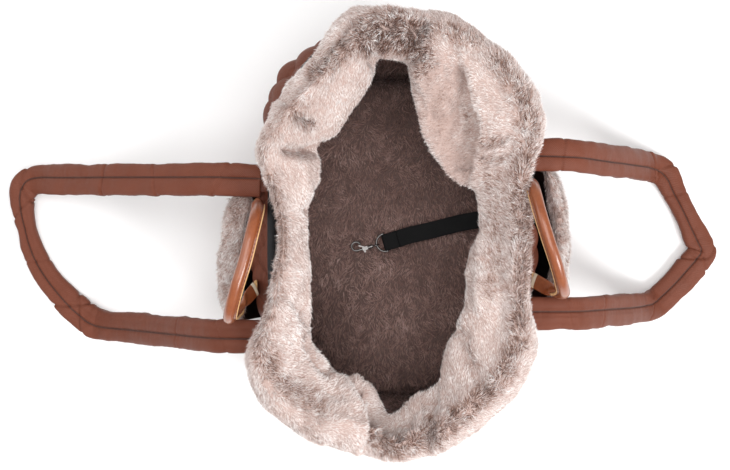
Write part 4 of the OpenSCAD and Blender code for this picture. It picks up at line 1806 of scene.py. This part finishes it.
LEFT_ROUTE = (
    (-146, 59, 203), (-160, 59.5, 203), (-176, 60, 203), (-200, 61, 196), (-245, 62, 168), (-320, 64, 115),
    (-395, 66, 55), (-428, 67, 27), (-443, 63, 20), (-450, 50, 18), (-450, 28, 15), (-441, -14, 9),
    (-424, -48, 9), (-399, -79, 9), (-379, -98, 9), (-367, -106, 12), (-350, -110, 20), (-300, -111, 68),
    (-245, -111, 138), (-206, -111, 187), (-180, -111, 202), (-160, -111, 203), (-146, -111, 203),
)
RIGHT_ROUTE = (
    (146, 89, 203), (160, 88.5, 203), (178, 88, 203), (205, 87, 194), (240, 85, 152), (280, 84, 90),
    (314, 83, 28), (330, 79, 11), (340, 69, 9), (347, 54, 9), (363, 22, 9), (378, -9, 9), (382, -19, 9),
    (377, -29, 9), (351, -59, 9), (330, -79, 11), (319, -85, 19), (306, -87, 38), (280, -87, 88),
    (240, -86, 152), (205, -86, 194), (178, -86, 203), (160, -86, 203), (146, -86, 203),
)
LEFT_GRIP = (
    (-151, 30, 212), (-149, 32, 232), (-146, 30, 262), (-146, 20, 288), (-150, 0, 300), (-157, -28, 302),
    (-166, -56, 298), (-173, -80, 283), (-175, -88, 260), (-167, -78, 235), (-151, -58, 212),
)
RIGHT_GRIP = (
    (151, 45, 212), (147, 52, 232), (145, 54, 258), (145, 46, 284), (149, 24, 299), (157, -4, 303),
    (166, -30, 298), (174, -52, 282), (178, -62, 257), (168, -59, 232), (151, -49, 212),
)


def main() -> None:
    """Builds the scene piece by piece."""
    logging.basicConfig(level=logging.INFO, format="%(message)s")
    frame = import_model()
    Studio().build()
    log.info("studio: camera, lamps, floor")
    for node in ("d_ring", "hook_eye", "hook_body", "hook_gate", "gate_pin", "gate_spring"):
        repaint(frame["nodes"][node], NICKEL)
    repaint(frame["nodes"]["base_board"], BOARD)
    builders = (
        Tether(),
        QuiltedShell(),
        Collar(),
        FurLining(),
        Cushion(),
        Pocket(Side.LEFT, -0.023, 0.074, lip=13.0, skew=0.22),
        Pocket(Side.RIGHT, 0.0, 0.075),
        LongHandle(
            Side.LEFT,
            LEFT_ROUTE,
            (Crease(0.05, 0.5, 1.8, 1.2), Crease(0.155, -0.15, 1.2, 1.2), Crease(0.25, 0.15, 2.2, 1.3),
             Crease(0.425, 0.9, 3.0, 1.6), Crease(0.45, -0.7, 2.4, 1.5), Crease(0.53, 0.3, 1.4, 1.4),
             Crease(0.61, 0.9, 3.2, 1.6), Crease(0.625, -0.9, 2.8, 1.6), Crease(0.86, 0.1, 1.6, 1.2),
             Crease(0.95, -0.4, 1.4, 1.2)),
            (59, -111),
            ((0.475, 0.36, 0.04), (0.55, 0.20, 0.05)),
        ),
        LongHandle(
            Side.RIGHT,
            RIGHT_ROUTE,
            (Crease(0.05, 0.1, 1.4, 1.2), Crease(0.345, -0.7, 3.0, 1.5), Crease(0.365, 0.8, 2.6, 1.5),
             Crease(0.42, 0.2, 1.2, 1.4), Crease(0.525, 0.8, 3.2, 1.6), Crease(0.535, -0.8, 3.0, 1.6),
             Crease(0.655, 0.9, 3.0, 1.6), Crease(0.87, 0.2, 1.8, 1.2), Crease(0.94, -0.2, 1.4, 1.2)),
            (89, -86),
            ((0.445, 0.26, 0.055),),
        ),
        LeatherHandle(Side.LEFT, LEFT_GRIP, (30, -58), 0.1),
        LeatherHandle(Side.RIGHT, RIGHT_GRIP, (45, -49), 0.6),
    )
    for builder in builders:
        log.info("%s: %s", type(builder).__name__, ", ".join(o.name for o in builder.build()))
    log.info("piping: %s", QuiltedShell().add_piping().name)


def repaint(node: bpy.types.Object, finish: Finish) -> None:
    """Gives a CAD node its finish.

    Args:
        node: The CAD object.
        finish: Its finish.
    """
    node.data.materials.clear()
    node.data.materials.append(finish.material())


if __name__ == "__main__":
    main()
